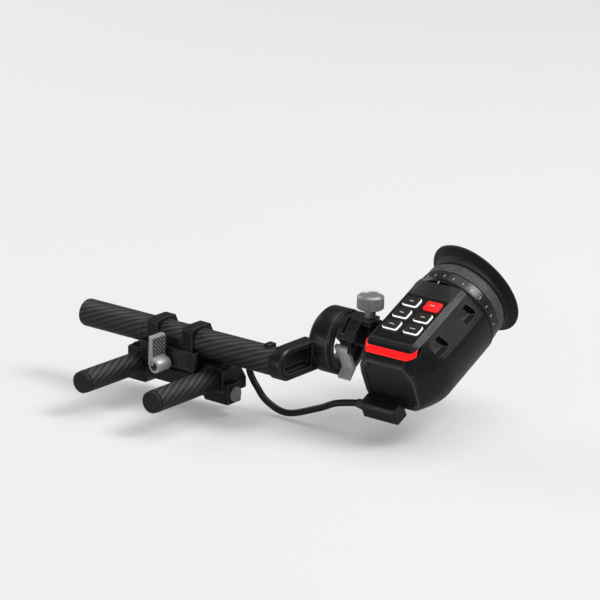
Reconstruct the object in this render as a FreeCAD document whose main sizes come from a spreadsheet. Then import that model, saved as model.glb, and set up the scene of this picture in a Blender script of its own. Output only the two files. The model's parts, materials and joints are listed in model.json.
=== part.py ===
import FreeCAD, Part
import math
import os
import Sketcher
from FreeCAD import Placement, Rotation, Vector

# Viewfinder on a carbon rod mount.
# Frame, in millimetres: the origin is on the cross tube's axis, midway between the two rods.
# X runs along the cross tube towards the viewfinder, -Y points the way the rods' free ends
# point, and Z is up.  Viewfinder pieces are drawn in their own frame (X across, Y along the
# optical axis towards the eye, Z square to the button panel) and placed by EYE_FRAME.

doc = FreeCAD.newDocument("viewfinder_mount")
sheet = doc.addObject("Spreadsheet::Sheet", "Dims")

SIZES = {
    "running fits and walls": dict(
        running_gap=0.05, seam_gap=0.1, bolt_radius=1.5, bolt_head_radius=2.75, bolt_head_height=2.8),
    "rods": dict(
        rod_radius=7.5, rod_wall=1.5, rod_spacing=60.0, rod_drop=22.4, rod_front=-61.0,
        rod_rear=17.0, rod_cap_length=3.5, rod_plug_length=8.0),
    "cross tube": dict(
        tube_radius=9.5, tube_wall=1.6, tube_left=-81.5, tube_cap_thickness=1.1,
        spigot_length=15.0),
    "rod blocks": dict(
        block_front=-6.0, block_rear=18.5, block_top=-12.5, block_floor=-30.6, block_outer=41.0,
        block_inner=20.0, block_corner=4.5, jaw_front=-5.5, jaw_rear=7.5, jaw_floor=-36.5,
        jaw_top=-28.6, jaw_outer=45.7, jaw_boss_top=-22.8, jaw_screw_radius=5.0,
        jaw_screw_y=1.4, jaw_screw_z=-30.2, bridge_front=-11.0, bridge_floor=-29.3,
        bridge_top=-16.8),
    "saddle": dict(
        saddle_half=24.0, saddle_front=-13.5, saddle_toe=-15.5, saddle_split=-4.0,
        saddle_rear=15.5, saddle_back_top=2.0, ring_inner=10.6, ring_outer=19.4, ring_top=11.5,
        ring_front=-11.3, ring_rear=12.0),
    "clamp lever": dict(
        lever_hub_z=-14.3, lever_hub_radius=4.0, lever_front=-27.0, lever_rear=-14.1,
        paddle_left=-4.8, paddle_right=-2.0, paddle_top=5.6, stud_radius=2.0),
    "swing arm": dict(
        arm_left=81.0, arm_right=91.5, arm_end_radius=10.6, arm_reach=46.0, arm_rise=6.5,
        drum_left=85.0, drum_right=104.0, drum_radius=22.0, drum_bore=17.5, drum_flange=2.0,
        arm_pocket_depth=3.0),
    "tilt head": dict(
        hub_bore=16.7, hub_left=86.6, bracket_left=104.6, bracket_thickness=4.0,
        shelf_top=26.5, shelf_thickness=3.0, shelf_front=38.0, shelf_rear=54.0,
        shelf_right=126.0, knob_x=119.0, knob_y=48.0, knob_floor=32.0, knob_height=9.8,
        knob_radius=8.8, knob_flutes=30.0, catch_y=32.5, catch_z=6.5, catch_left=105.0,
        catch_right=114.4, catch_thickness=2.4),
    "viewfinder": dict(
        eye_x=153.0, eye_y=91.2, eye_z=24.8, eye_pitch=25.4, body_radius=31.5, shell_wall=2.2,
        top_height=27.4, top_half=16.9, shoulder_drop=2.6, body_rear=-3.0, body_front=-61.0,
        seam_bottom=-55.3, rim_front=-73.5, rim_top=19.6, rim_half=13.2, rim_radius=22.5,
        panel_half=15.3, panel_front=-60.0, panel_rear=-16.4, panel_thickness=1.2,
        ramp_top=30.2, socket_height=-11.5),
    "buttons": dict(
        key_width=11.4, key_length=8.2, key_height=1.6, key_radius=1.6, key_travel=1.0,
        key_column=16.1, key_row=11.75, key_rear=-24.2, key_gap=0.35, key_skirt=2.2),
    "eyepiece": dict(
        ridge_radius=31.3, diopter_radius=30.2, diopter_rear=17.2, neck_radius=27.0, neck_bore=24.0,
        cup_neck_radius=25.0, cup_neck_rear=22.0, cup_mount_radius=27.6, cup_rear=31.5,
        cup_lip_radius=34.6, lens_radius=19.5, carrier_radius=20.8, grip_count=36.0),
    "cable": dict(
        cable_radius=2.25, cable_depth=21.2, cable_sag=-42.0, plug_left=-18.5, plug_right=8.5,
        plug_front=-87.0, plug_rear=-75.6, plug_top=-9.0, plug_floor=-20.5),
}

row = 1
for title, sizes in SIZES.items():
    sheet.set("A%d" % row, title)
    row += 1
    for name, number in sizes.items():
        sheet.set("A%d" % row, name.replace("_", " "))
        sheet.set("B%d" % row, str(number))
        sheet.setAlias("B%d" % row, name)
        row += 1
doc.recompute()


class Size:
    """A number together with the spreadsheet formula it comes from."""

    def __init__(self, number, text):
        self.number = float(number)
        self.text = text

    def __add__(self, other):
        other = size(other)
        return Size(self.number + other.number, "(%s + %s)" % (self.text, other.text))

    def __sub__(self, other):
        other = size(other)
        return Size(self.number - other.number, "(%s - %s)" % (self.text, other.text))

    def __mul__(self, other):
        other = size(other)
        return Size(self.number * other.number, "(%s * %s)" % (self.text, other.text))

    def __truediv__(self, other):
        other = size(other)
        return Size(self.number / other.number, "(%s / %s)" % (self.text, other.text))

    def __radd__(self, other):
        return size(other) + self

    def __rsub__(self, other):
        return size(other) - self

    def __rmul__(self, other):
        return size(other) * self

    def __neg__(self):
        return size(0) - self


def size(value):
    return value if isinstance(value, Size) else Size(value, repr(float(value)))


class Dims:
    """dims.rod_radius is the cell with that alias, ready for use in a formula."""

    def __getattr__(self, name):
        return Size(sheet.get(name), "Dims." + name)


dims = Dims()
rod_x = dims.rod_spacing / 2
rod_z = -dims.rod_drop
X_AXIS = Vector(1, 0, 0)
Y_AXIS = Vector(0, 1, 0)
Z_AXIS = Vector(0, 0, 1)
TURN_TO = {"x": Rotation(Y_AXIS, 90), "y": Rotation(X_AXIS, -90), "z": Rotation()}
WORLD = Placement()
EYE_FRAME = Placement(
    Vector(dims.eye_x.number, dims.eye_y.number, dims.eye_z.number),
    Rotation(X_AXIS, dims.eye_pitch.number))
SHELL_SCREW_PLACES = [(x, along) for x in (-9, 9) for along in (-50, -12)]
# each notch runs from NOTCH_BEHIND behind its place to NOTCH_AHEAD in front of it
NOTCH_PLACES = (-42.8, -10.1)
NOTCH_BEHIND = 3.6
NOTCH_AHEAD = 9.2
NOTCH_WALL = 1.2
NOTCH_SLOPE = 34.8
CABLE_PIECES = 16
NODES = []


def bind(obj, **values):
    for name, value in values.items():
        value = size(value)
        setattr(obj, name, value.number)
        if "Dims." in value.text:
            obj.setExpression(name, value.text)


def place(obj, x, y, z, rotation=None):
    spot = [size(x), size(y), size(z)]
    obj.Placement = Placement(Vector(*[s.number for s in spot]), rotation or Rotation())
    for letter, value in zip("xyz", spot):
        if "Dims." in value.text:
            obj.setExpression("Placement.Base." + letter, value.text)
    return obj


def box(x0, x1, y0, y1, z0, z1):
    obj = doc.addObject("Part::Box", "block")
    bind(obj, Length=size(x1) - x0, Width=size(y1) - y0, Height=size(z1) - z0)
    return place(obj, x0, y0, z0)


def rod(axis, x, y, z, radius, length):
    """A cylinder that starts at x, y, z and runs along the axis."""
    obj = doc.addObject("Part::Cylinder", "rod")
    bind(obj, Radius=radius, Height=length)
    return place(obj, x, y, z, TURN_TO[axis])


def cone(axis, x, y, z, start, end, length):
    obj = doc.addObject("Part::Cone", "cone")
    bind(obj, Radius1=start, Radius2=end, Height=length)
    return place(obj, x, y, z, TURN_TO[axis])


def cut(base, *tools):
    for tool in tools:
        obj = doc.addObject("Part::Cut", "cut")
        obj.Base = base
        obj.Tool = tool
        base = obj
    return base


def fuse(*shapes):
    obj = doc.addObject("Part::MultiFuse", "joined")
    obj.Shapes = list(shapes)
    obj.Refine = True
    return obj


def group(*shapes):
    """Separate solids that share one node, such as identical screws."""
    obj = doc.addObject("Part::Compound", "set")
    obj.Links = list(shapes)
    return obj


def soften(base, kind, amount, wanted):
    """Part::Fillet or Part::Chamfer on the edges that wanted(edge) picks."""
    doc.recompute()
    obj = doc.addObject("Part::" + kind, "softened")
    obj.Base = base
    edges = [i + 1 for i, edge in enumerate(base.Shape.Edges) if wanted(edge)]
    obj.Edges = [(i, amount, amount) for i in edges]
    return obj


def soften_body(body, feature, kind, amount, wanted):
    doc.recompute()
    obj = body.newObject("PartDesign::" + kind, "softened")
    names = ["Edge%d" % (i + 1) for i, edge in enumerate(feature.Shape.Edges) if wanted(edge)]
    obj.Base = (feature, names)
    bind(obj, **{"Radius" if kind == "Fillet" else "Size": amount})
    return obj


def node(name, obj, frame=WORLD):
    """Names a finished sub-part and puts it in its frame."""
    obj.Label = name
    if not frame.isIdentity():
        obj.Placement = frame.multiply(obj.Placement)
    NODES.append(obj)
    return obj


def new_body(name, frame=WORLD):
    body = doc.addObject("PartDesign::Body", "Body_" + name)
    node(name, body, frame)
    return body


def sketch_on(body, role, shift=0):
    """A sketch on one of the body's origin planes, moved along that plane's normal."""
    plane = [f for f in body.Origin.OriginFeatures if f.Role == role][0]
    sketch = body.newObject("Sketcher::SketchObject", "sketch")
    sketch.AttachmentSupport = (plane, [""])
    sketch.MapMode = "FlatFace"
    shift = size(shift)
    sketch.AttachmentOffset = Placement(Vector(0, 0, shift.number), Rotation())
    if "Dims." in shift.text:
        sketch.setExpression("AttachmentOffset.Base.z", shift.text)
    return sketch


def pin_point(sketch, geometry, end, x, y):
    """Holds a sketch point at x, y measured from the sketch's origin."""
    for kind, value, axis in (("DistanceX", size(x), -2), ("DistanceY", size(y), -1)):
        if abs(value.number) < 1e-9:
            sketch.addConstraint(Sketcher.Constraint("PointOnObject", geometry, end, axis))
            continue
        number = sketch.addConstraint(
            Sketcher.Constraint(kind, -1, 1, geometry, end, value.number))
        if "Dims." in value.text:
            sketch.setExpression("Constraints[%d]" % number, value.text)


def outline(sketch, points):
    """A closed polygon through points given as sizes."""
    spots = [Vector(size(x).number, size(y).number, 0) for x, y in points]
    first = sketch.GeometryCount
    count = len(spots)
    for i in range(count):
        sketch.addGeometry(Part.LineSegment(spots[i], spots[(i + 1) % count]), False)
    for i in range(count):
        following = first + (i + 1) % count
        sketch.addConstraint(Sketcher.Constraint("Coincident", first + i, 2, following, 1))
    for i, (x, y) in enumerate(points):
        pin_point(sketch, first + i, 1, x, y)
    return sketch


def mirrored_outline(sketch, points):
    """An outline from its right half, given from bottom to top."""
    return outline(sketch, points + [(-size(x), y) for x, y in reversed(points)])


def circle(sketch, x, y, radius):
    radius = size(radius)
    centre = Vector(size(x).number, size(y).number, 0)
    number = sketch.addGeometry(Part.Circle(centre, Vector(0, 0, 1), radius.number), False)
    held = sketch.addConstraint(Sketcher.Constraint("Radius", number, radius.number))
    if "Dims." in radius.text:
        sketch.setExpression("Constraints[%d]" % held, radius.text)
    pin_point(sketch, number, 3, x, y)
    return sketch


def pad(body, sketch, length, both=False):
    feature = body.newObject("PartDesign::Pad", "pad")
    feature.Profile = sketch
    bind(feature, Length=length)
    feature.Midplane = both
    return feature


def pocket(body, sketch, length, both=False, back=False):
    feature = body.newObject("PartDesign::Pocket", "pocket")
    feature.Profile = sketch
    bind(feature, Length=length)
    feature.Midplane = both
    feature.Reversed = back
    return feature


def revolve(body, sketch, axis="H_Axis"):
    feature = body.newObject("PartDesign::Revolution", "turned")
    feature.Profile = sketch
    feature.ReferenceAxis = (sketch, [axis])
    feature.Angle = 360
    return feature


def pattern_round(body, feature, axis_role, count):
    pattern = body.newObject("PartDesign::PolarPattern", "round_pattern")
    pattern.Originals = [feature]
    axis = [f for f in body.Origin.OriginFeatures if f.Role == axis_role][0]
    pattern.Axis = (axis, [""])
    pattern.Angle = 360
    pattern.Occurrences = int(size(count).number)
    body.Tip = pattern
    return pattern


def turned(name, profile, frame=WORLD):
    """A ring or plug turned about Y: profile points are (distance along Y, radius)."""
    body = new_body(name, frame)
    sketch = sketch_on(body, "YZ_Plane")
    outline(sketch, profile)
    revolve(body, sketch)
    return body


def is_along(edge, axis, tolerance=1e-3):
    if not isinstance(edge.Curve, Part.Line):
        return False
    return abs(abs(edge.Curve.Direction.dot(axis)) - 1) < tolerance


def mark_ring(axis, x, y, z, radius):
    """A shallow insertion mark turned into a rod where it enters its clamp."""
    return cut(rod(axis, x, y, z, radius + 1, 0.8), rod(axis, x, y, z, radius - 0.2, 0.8))


# ---------------------------------------------------------------- rods and their rubber caps

def make_rod(side, name_rod, name_cap):
    x = side * rod_x
    length = dims.rod_rear - dims.rod_front
    outer = rod("y", x, dims.rod_front, rod_z, dims.rod_radius, length)
    inner = rod("y", x, dims.rod_front, rod_z, dims.rod_radius - dims.rod_wall, length)
    mark = mark_ring("y", x, dims.block_front - 1.6, rod_z, dims.rod_radius)
    node(name_rod, cut(outer, inner, mark))
    face = dims.rod_front - dims.rod_cap_length
    head = rod("y", x, face, rod_z, dims.rod_radius - 0.25, dims.rod_cap_length)
    head = soften(head, "Fillet", 1.1, lambda e: abs(e.BoundBox.YMax - face.number) < 0.01)
    plug_radius = dims.rod_radius - dims.rod_wall
    plug = rod("y", x, dims.rod_front, rod_z, plug_radius, dims.rod_plug_length)
    node(name_cap, fuse(head, plug))


# ---------------------------------------------------------------- rod blocks and rod jaws

def make_clamp_base():
    """Two rod blocks joined by a low bridge."""
    body = new_body("clamp_base")
    blocks = sketch_on(body, "XZ_Plane", -dims.block_rear)
    right = [
        (dims.block_inner, dims.block_floor), (dims.block_outer, dims.block_floor),
        (dims.block_outer, dims.block_top - 1.5), (dims.block_outer - 1.5, dims.block_top),
        (dims.block_inner + dims.block_corner, dims.block_top),
        (dims.block_inner, dims.block_top - dims.block_corner)]
    outline(blocks, right)
    outline(blocks, [(-x, z) for x, z in reversed(right)])
    pad(body, blocks, dims.block_rear - dims.block_front)
    bridge = sketch_on(body, "YZ_Plane")
    outline(bridge, [
        (dims.bridge_front, dims.bridge_floor), (dims.block_rear - 3, dims.bridge_floor),
        (dims.block_rear - 3, dims.bridge_top), (dims.bridge_front, dims.bridge_top)])
    pad(body, bridge, dims.block_inner * 2 + 1.0, both=True)
    slope = sketch_on(body, "YZ_Plane")
    outline(slope, [
        (12.0, dims.block_top + 1), (dims.block_rear + 1, dims.block_top + 1),
        (dims.block_rear + 1, -25.2), (11.4, dims.block_top)])
    pocket(body, slope, 2 * dims.block_outer + 10, both=True)
    bores = sketch_on(body, "XZ_Plane")
    for side in (1, -1):
        circle(bores, side * rod_x, rod_z, dims.rod_radius + dims.running_gap)
    pocket(body, bores, 80, both=True)
    seats = sketch_on(body, "YZ_Plane")
    outline(seats, [
        (dims.block_front - 1, dims.block_floor - 1),
        (dims.jaw_rear + dims.seam_gap, dims.block_floor - 1),
        (dims.jaw_rear + dims.seam_gap, dims.jaw_top + dims.seam_gap),
        (dims.block_front - 1, dims.jaw_top + dims.seam_gap)])
    pocket(body, seats, 2 * dims.block_outer + 10, both=True)
    # the jaws seat under the blocks only, so the bridge's underside is put back
    keel = sketch_on(body, "YZ_Plane")
    outline(keel, [
        (dims.bridge_front, dims.bridge_floor), (10.0, dims.bridge_floor), (10.0, -27.0),
        (dims.bridge_front, -27.0)])
    pad(body, keel, dims.block_inner * 2 - 1, both=True)
    stud = sketch_on(body, "XZ_Plane", -dims.bridge_front)
    circle(stud, 0, dims.lever_hub_z - 6.2, 1.0)
    pocket(body, stud, 4)
    bolts = sketch_on(body, "XY_Plane", dims.bridge_floor)
    heads = sketch_on(body, "XY_Plane", dims.bridge_floor)
    for x, y in bolt_places():
        circle(bolts, x, y, dims.bolt_radius + dims.running_gap)
        circle(heads, x, y, dims.bolt_head_radius + 0.15)
    pocket(body, bolts, 20, back=True)
    pocket(body, heads, dims.bolt_head_height + 0.2, back=True)
    return body


def bolt_places():
    return [(x, y) for x in (-13.5, 13.5) for y in (-7.2, 8.2)]


def make_jaw(side, name):
    """A rod jaw hangs under its block and reaches round the block's outer face."""
    body = new_body(name)
    front = sketch_on(body, "XZ_Plane", -dims.jaw_rear)
    points = [
        (dims.block_inner + 2, dims.jaw_top), (dims.block_inner + 2, dims.block_floor - 0.6),
        (dims.block_inner + 6, dims.jaw_floor), (dims.jaw_outer - 0.6, dims.jaw_floor),
        (dims.jaw_outer, dims.jaw_floor + 0.6), (dims.jaw_outer, dims.jaw_boss_top),
        (dims.block_outer + dims.seam_gap, dims.jaw_boss_top),
        (dims.block_outer + dims.seam_gap, dims.jaw_top)]
    outline(front, [(side * x, z) for x, z in points])
    pad(body, front, dims.jaw_rear - dims.jaw_front)
    bore = sketch_on(body, "XZ_Plane")
    circle(bore, side * rod_x, rod_z, dims.rod_radius + dims.running_gap)
    pocket(body, bore, 60, both=True)
    screw = sketch_on(body, "YZ_Plane", side * (dims.jaw_outer + 1))
    circle(screw, dims.jaw_screw_y, dims.jaw_screw_z - 1.0, 1.6)
    pocket(body, screw, 12, back=side < 0)


def make_jaw_screws():
    screws = []
    for side in (1, -1):
        face = side * dims.jaw_outer if side > 0 else -dims.jaw_outer - 1.6
        head = rod("x", face, dims.jaw_screw_y, dims.jaw_screw_z, dims.jaw_screw_radius, 1.6)
        inward = dims.jaw_outer - 9.5 if side > 0 else -dims.jaw_outer
        shank = rod("x", inward, dims.jaw_screw_y, dims.jaw_screw_z - 1.0, 1.5, 9.5)
        screws.append(fuse(head, shank))
    node("jaw_screws", group(*screws))


def make_block_covers():
    covers = []
    for side in (1, -1):
        near = dims.block_inner + 5.5
        far = dims.block_outer - 2
        x0, x1 = (near, far) if side > 0 else (-far, -near)
        covers.append(soften(
            box(x0, x1, -3.5, 10.5, dims.block_top, dims.block_top + 1.1), "Chamfer", 0.5,
            lambda e: abs(e.BoundBox.ZMin - dims.block_top.number - 1.1) < 0.01))
    node("block_covers", group(*covers))


def make_front_plate():
    """Thin trim plate on the front of the bridge."""
    plate = box(-18.5, 18.5, dims.bridge_front - 1.3, dims.bridge_front, -28.6, -18.8)
    plate = soften(plate, "Chamfer", 0.5, lambda e: e.BoundBox.YMax < dims.bridge_front.number - 1)
    pin = rod("y", 0, dims.bridge_front, dims.lever_hub_z - 6.2, 0.95, 3.5)
    node("front_plate", fuse(plate, pin))


# ---------------------------------------------------------------- tube saddle and its cap

def make_saddle():
    """The lower half of the tube clamp, with a toe in front of the rod blocks."""
    body = new_body("tube_saddle")
    deck = sketch_on(body, "YZ_Plane")
    outline(deck, [
        (dims.saddle_front, dims.block_top + 0.05), (dims.saddle_rear, dims.block_top + 0.05),
        (dims.saddle_rear, dims.saddle_back_top),
        (dims.ring_rear + dims.seam_gap, dims.saddle_back_top),
        (dims.ring_rear + dims.seam_gap, dims.saddle_split), (dims.saddle_front, dims.saddle_split)])
    pad(body, deck, 2 * dims.saddle_half, both=True)
    toe = sketch_on(body, "YZ_Plane")
    outline(toe, [
        (dims.saddle_front, dims.saddle_toe), (dims.block_front - 0.2, dims.saddle_toe),
        (dims.block_front - 0.2, dims.saddle_split - 1), (dims.saddle_front, dims.saddle_split - 1)])
    pad(body, toe, 2 * dims.saddle_half, both=True)
    stem = sketch_on(body, "YZ_Plane")
    outline(stem, [
        (dims.saddle_front + 3, dims.bridge_top + 0.05), (dims.block_rear - 7.2, dims.bridge_top + 0.05),
        (dims.block_rear - 7.2, dims.block_top + 1), (dims.saddle_front + 3, dims.block_top + 1)])
    pad(body, stem, 2 * dims.block_inner - 0.4, both=True)
    tube = sketch_on(body, "YZ_Plane")
    circle(tube, 0, 0, dims.tube_radius + dims.running_gap)
    pocket(body, tube, 120, both=True)
    ribs = sketch_on(body, "XY_Plane", dims.saddle_split + 1)
    for i in range(5):
        x = 6.2 + 2.4 * i
        for side in (1, -1):
            near, far = (x, x + 1.1) if side > 0 else (-x - 1.1, -x)
            outline(ribs, [
                (near, dims.saddle_front - 1), (far, dims.saddle_front - 1),
                (far, dims.saddle_front + 0.5), (near, dims.saddle_front + 0.5)])
    pocket(body, ribs, 30)
    stud = sketch_on(body, "XZ_Plane")
    circle(stud, 0, dims.lever_hub_z, dims.stud_radius + dims.running_gap)
    pocket(body, stud, 60, both=True)
    bolts = sketch_on(body, "XY_Plane", dims.bridge_top - 0.5)
    for x, y in bolt_places():
        circle(bolts, x, y, dims.bolt_radius + dims.running_gap)
    pocket(body, bolts, 7.5, back=True)
    rear = sketch_on(body, "XZ_Plane", -dims.saddle_rear)
    for side in (1, -1):
        circle(rear, side * 15.0, -0.9, 1.25)
    pocket(body, rear, 6, back=True)
    soften_body(body, body.Tip, "Chamfer", 1.2, lambda e: is_along(e, Z_AXIS)
                and abs(e.BoundBox.YMin - dims.saddle_front.number) < 0.01
                and abs(abs(e.BoundBox.XMin) - dims.saddle_half.number) < 0.01)
    return body


def make_cap():
    """The upper half of the tube clamp: two rings joined by low webs."""
    body = new_body("saddle_cap")
    side_view = sketch_on(body, "YZ_Plane")
    outline(side_view, [
        (dims.ring_front, dims.saddle_split + dims.seam_gap), (dims.ring_front, 9.4), (-9.8, 10.9),
        (-5.0, dims.ring_top), (7.4, dims.ring_top), (9.8, 6.8), (dims.ring_rear, 1.0),
        (dims.ring_rear, dims.saddle_split + dims.seam_gap)])
    pad(body, side_view, 2 * dims.ring_outer, both=True)
    gap = sketch_on(body, "YZ_Plane")
    outline(gap, [(-20, 3.0), (20, 3.0), (20, 20), (-20, 20)])
    pocket(body, gap, 2 * dims.ring_inner, both=True)
    recess = sketch_on(body, "YZ_Plane")
    outline(recess, [(-20, -10), (dims.ring_front + 0.8, -10), (dims.ring_front + 0.8, 5), (-20, 5)])
    pocket(body, recess, 2 * dims.ring_inner, both=True)
    tube = sketch_on(body, "YZ_Plane")
    circle(tube, 0, 0, dims.tube_radius + dims.running_gap)
    pocket(body, tube, 120, both=True)
    rear = sketch_on(body, "XZ_Plane", -dims.saddle_rear)
    front = sketch_on(body, "XZ_Plane", -dims.ring_front)
    for side in (1, -1):
        circle(rear, side * 15.0, -0.9, 1.25)
        circle(front, side * 8.4, 0.9, 1.1)
    pocket(body, rear, 5.4, back=True)
    pocket(body, front, 1.5)
    return body


def make_saddle_fasteners():
    bolts = []
    for x, y in bolt_places():
        head = rod("z", x, y, dims.bridge_floor + 0.2, dims.bolt_head_radius, dims.bolt_head_height)
        shank = rod("z", x, y, dims.bridge_floor + 0.2, dims.bolt_radius, 18.8)
        socket = rod("z", x, y, dims.bridge_floor - 1, 1.2, 2.4)
        bolts.append(cut(fuse(head, shank), socket))
    node("saddle_bolts", group(*bolts))
    cap_screws = []
    for side in (1, -1):
        shank = rod("y", side * 15.0, dims.saddle_rear - 5.0, -0.9, 1.2, 5.0)
        head = rod("y", side * 15.0, dims.saddle_rear, -0.9, 2.4, 1.6)
        cap_screws.append(fuse(shank, head))
    node("cap_screws", group(*cap_screws))


# ---------------------------------------------------------------- clamp lever

def make_clamp_lever():
    hub = rod("y", 0, dims.lever_front, dims.lever_hub_z, dims.lever_hub_radius,
              dims.lever_rear - dims.lever_front)
    hub = soften(hub, "Fillet", 0.6, lambda e: isinstance(e.Curve, Part.Circle))
    paddle = box(dims.paddle_left, dims.paddle_right, dims.lever_front, dims.lever_rear,
                 dims.lever_hub_z, dims.paddle_top)
    blade = soften(paddle, "Chamfer", 0.7,
                   lambda e: e.BoundBox.ZMin > dims.paddle_top.number - 0.01)
    bore = rod("y", 0, dims.lever_front - 1, dims.lever_hub_z, dims.stud_radius + 0.02, 30)
    recess = rod("y", 0, dims.lever_front - 1, dims.lever_hub_z, 2.75, 3.0)
    node("clamp_lever", cut(fuse(hub, blade), bore, recess))
    head = rod("y", 0, dims.lever_front + 0.4, dims.lever_hub_z, 2.7, 1.5)
    shank = rod("y", 0, dims.lever_front + 0.4, dims.lever_hub_z, dims.stud_radius, 36.0)
    key = rod("y", 0, dims.lever_front - 1, dims.lever_hub_z, 1.25, 2.3)
    node("lever_stud", cut(fuse(head, shank), key))


# ---------------------------------------------------------------- cross tube

def make_cross_tube():
    length = dims.arm_left - 0.2 - dims.tube_left
    outer = rod("x", dims.tube_left, 0, 0, dims.tube_radius, length)
    inner = rod("x", dims.tube_left, 0, 0, dims.tube_radius - dims.tube_wall, length)
    mark = mark_ring("x", -dims.saddle_half - 2, 0, 0, dims.tube_radius)
    node("cross_tube", cut(outer, inner, mark))
    disc = rod("x", dims.tube_left - dims.tube_cap_thickness, 0, 0, dims.tube_radius - 0.25,
               dims.tube_cap_thickness)
    disc = soften(disc, "Fillet", 0.5, lambda e: e.BoundBox.XMax < dims.tube_left.number - 1)
    plug = rod("x", dims.tube_left, 0, 0, dims.tube_radius - dims.tube_wall, 7)
    node("tube_end_cap", fuse(disc, plug))
    lug = cut(box(dims.arm_left - 8.4, dims.arm_left - 3.2, -3.4, 3.4, 4.0, 11.6),
              rod("x", dims.arm_left - 12, 0, 0, dims.tube_radius, 14))
    lug = soften(lug, "Fillet", 0.9, lambda e: e.BoundBox.ZMin > 11.5)
    node("arm_stop", lug)


# ---------------------------------------------------------------- swing arm and tilt drum

def make_arm():
    body = new_body("swing_arm")
    slab = sketch_on(body, "YZ_Plane", dims.arm_left)
    far = dims.arm_reach - 12
    outline(slab, [
        (0, -dims.arm_end_radius), (far, -dims.arm_end_radius), (far, dims.arm_end_radius),
        (0, dims.arm_end_radius)])
    pad(body, slab, dims.arm_right - dims.arm_left)
    eye = sketch_on(body, "YZ_Plane", dims.arm_left)
    circle(eye, 0, 0, dims.arm_end_radius)
    pad(body, eye, dims.arm_right - dims.arm_left)
    drum = sketch_on(body, "YZ_Plane", dims.drum_left)
    circle(drum, dims.arm_reach, dims.arm_rise, dims.drum_radius)
    pad(body, drum, dims.drum_right - dims.drum_flange - dims.drum_left)
    flange = sketch_on(body, "YZ_Plane", dims.drum_right - dims.drum_flange)
    circle(flange, dims.arm_reach, dims.arm_rise, dims.drum_radius - 0.7)
    last = pad(body, flange, dims.drum_flange)
    drum_left = dims.drum_left.number
    drum_right = dims.drum_right.number
    big = dims.drum_radius.number - 1
    last = soften_body(body, last, "Chamfer", 3.6, lambda e: isinstance(e.Curve, Part.Circle)
                       and e.Curve.Radius > big and abs(e.BoundBox.XMax - drum_left) < 0.01)
    last = soften_body(body, last, "Fillet", 0.8, lambda e: isinstance(e.Curve, Part.Circle)
                       and e.Curve.Radius > big and e.BoundBox.XMin > drum_right - 0.01)
    last = soften_body(body, last, "Chamfer", 0.9, lambda e: e.BoundBox.YMax < 30
                       and e.BoundBox.XLength < 0.01)
    bore = sketch_on(body, "YZ_Plane", dims.drum_left - 1)
    circle(bore, dims.arm_reach, dims.arm_rise, dims.drum_bore)
    pocket(body, bore, 40, back=True)
    seat = sketch_on(body, "YZ_Plane", dims.drum_left - 5)
    circle(seat, dims.arm_reach, dims.arm_rise, dims.drum_bore + 1.2)
    pocket(body, seat, 6.75, back=True)
    panel = sketch_on(body, "YZ_Plane", dims.arm_right)
    outline(panel, [
        (-2.5, -6.1), (23.0, -6.1), (23.0, 7.7), (-2.5, 7.7), (-5.4, 4.8), (-5.4, -3.2)])
    pocket(body, panel, dims.arm_pocket_depth)
    groove = sketch_on(body, "YZ_Plane", dims.arm_right)
    outline(groove, [(-2.0, -5.4), (21.0, -5.4), (21.0, -2.2), (-2.0, -2.2)])
    pocket(body, groove, dims.arm_pocket_depth + 2.0)
    spigot = sketch_on(body, "YZ_Plane", dims.arm_left - dims.spigot_length)
    circle(spigot, 0, 0, dims.tube_radius - dims.tube_wall - dims.running_gap)
    circle(spigot, 0, 0, 5.0)
    pad(body, spigot, dims.spigot_length)
    return body


# ---------------------------------------------------------------- tilt head

def make_tilt_head():
    y = dims.arm_reach
    z = dims.arm_rise
    outer = dims.drum_bore - dims.running_gap
    sleeve = rod("x", dims.hub_left, y, z, outer, dims.bracket_left - dims.hub_left)
    sleeve_bore = rod("x", dims.hub_left - 1, y, z, dims.hub_bore, 30)
    spoke = box(98.0, 101.0, 45.2, 62.5, 1.3, 3.1)
    node("tilt_hub", fuse(cut(sleeve, sleeve_bore), spoke))
    keeper = rod("x", dims.hub_left - 0.75, y, z, dims.drum_bore + 0.9, 0.7)
    keeper_bore = rod("x", dims.hub_left - 5, y, z, dims.hub_bore, 30)
    node("retaining_ring", cut(keeper, keeper_bore))
    washer = rod("x", dims.drum_right + 0.05, y, z, 20.2, 0.45)
    washer_bore = rod("x", dims.drum_right - 1, y, z, dims.drum_bore + 0.1, 4)
    node("friction_washer", cut(washer, washer_bore))
    # the spoke passes through a slot in the pin
    pin = rod("x", 94.5, 45.2, 2.2, 1.9, dims.bracket_left - 94.5)
    node("tilt_stop_pin", cut(pin, box(97.95, 101.05, 45.0, 50.0, 1.25, 3.15)))


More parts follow.
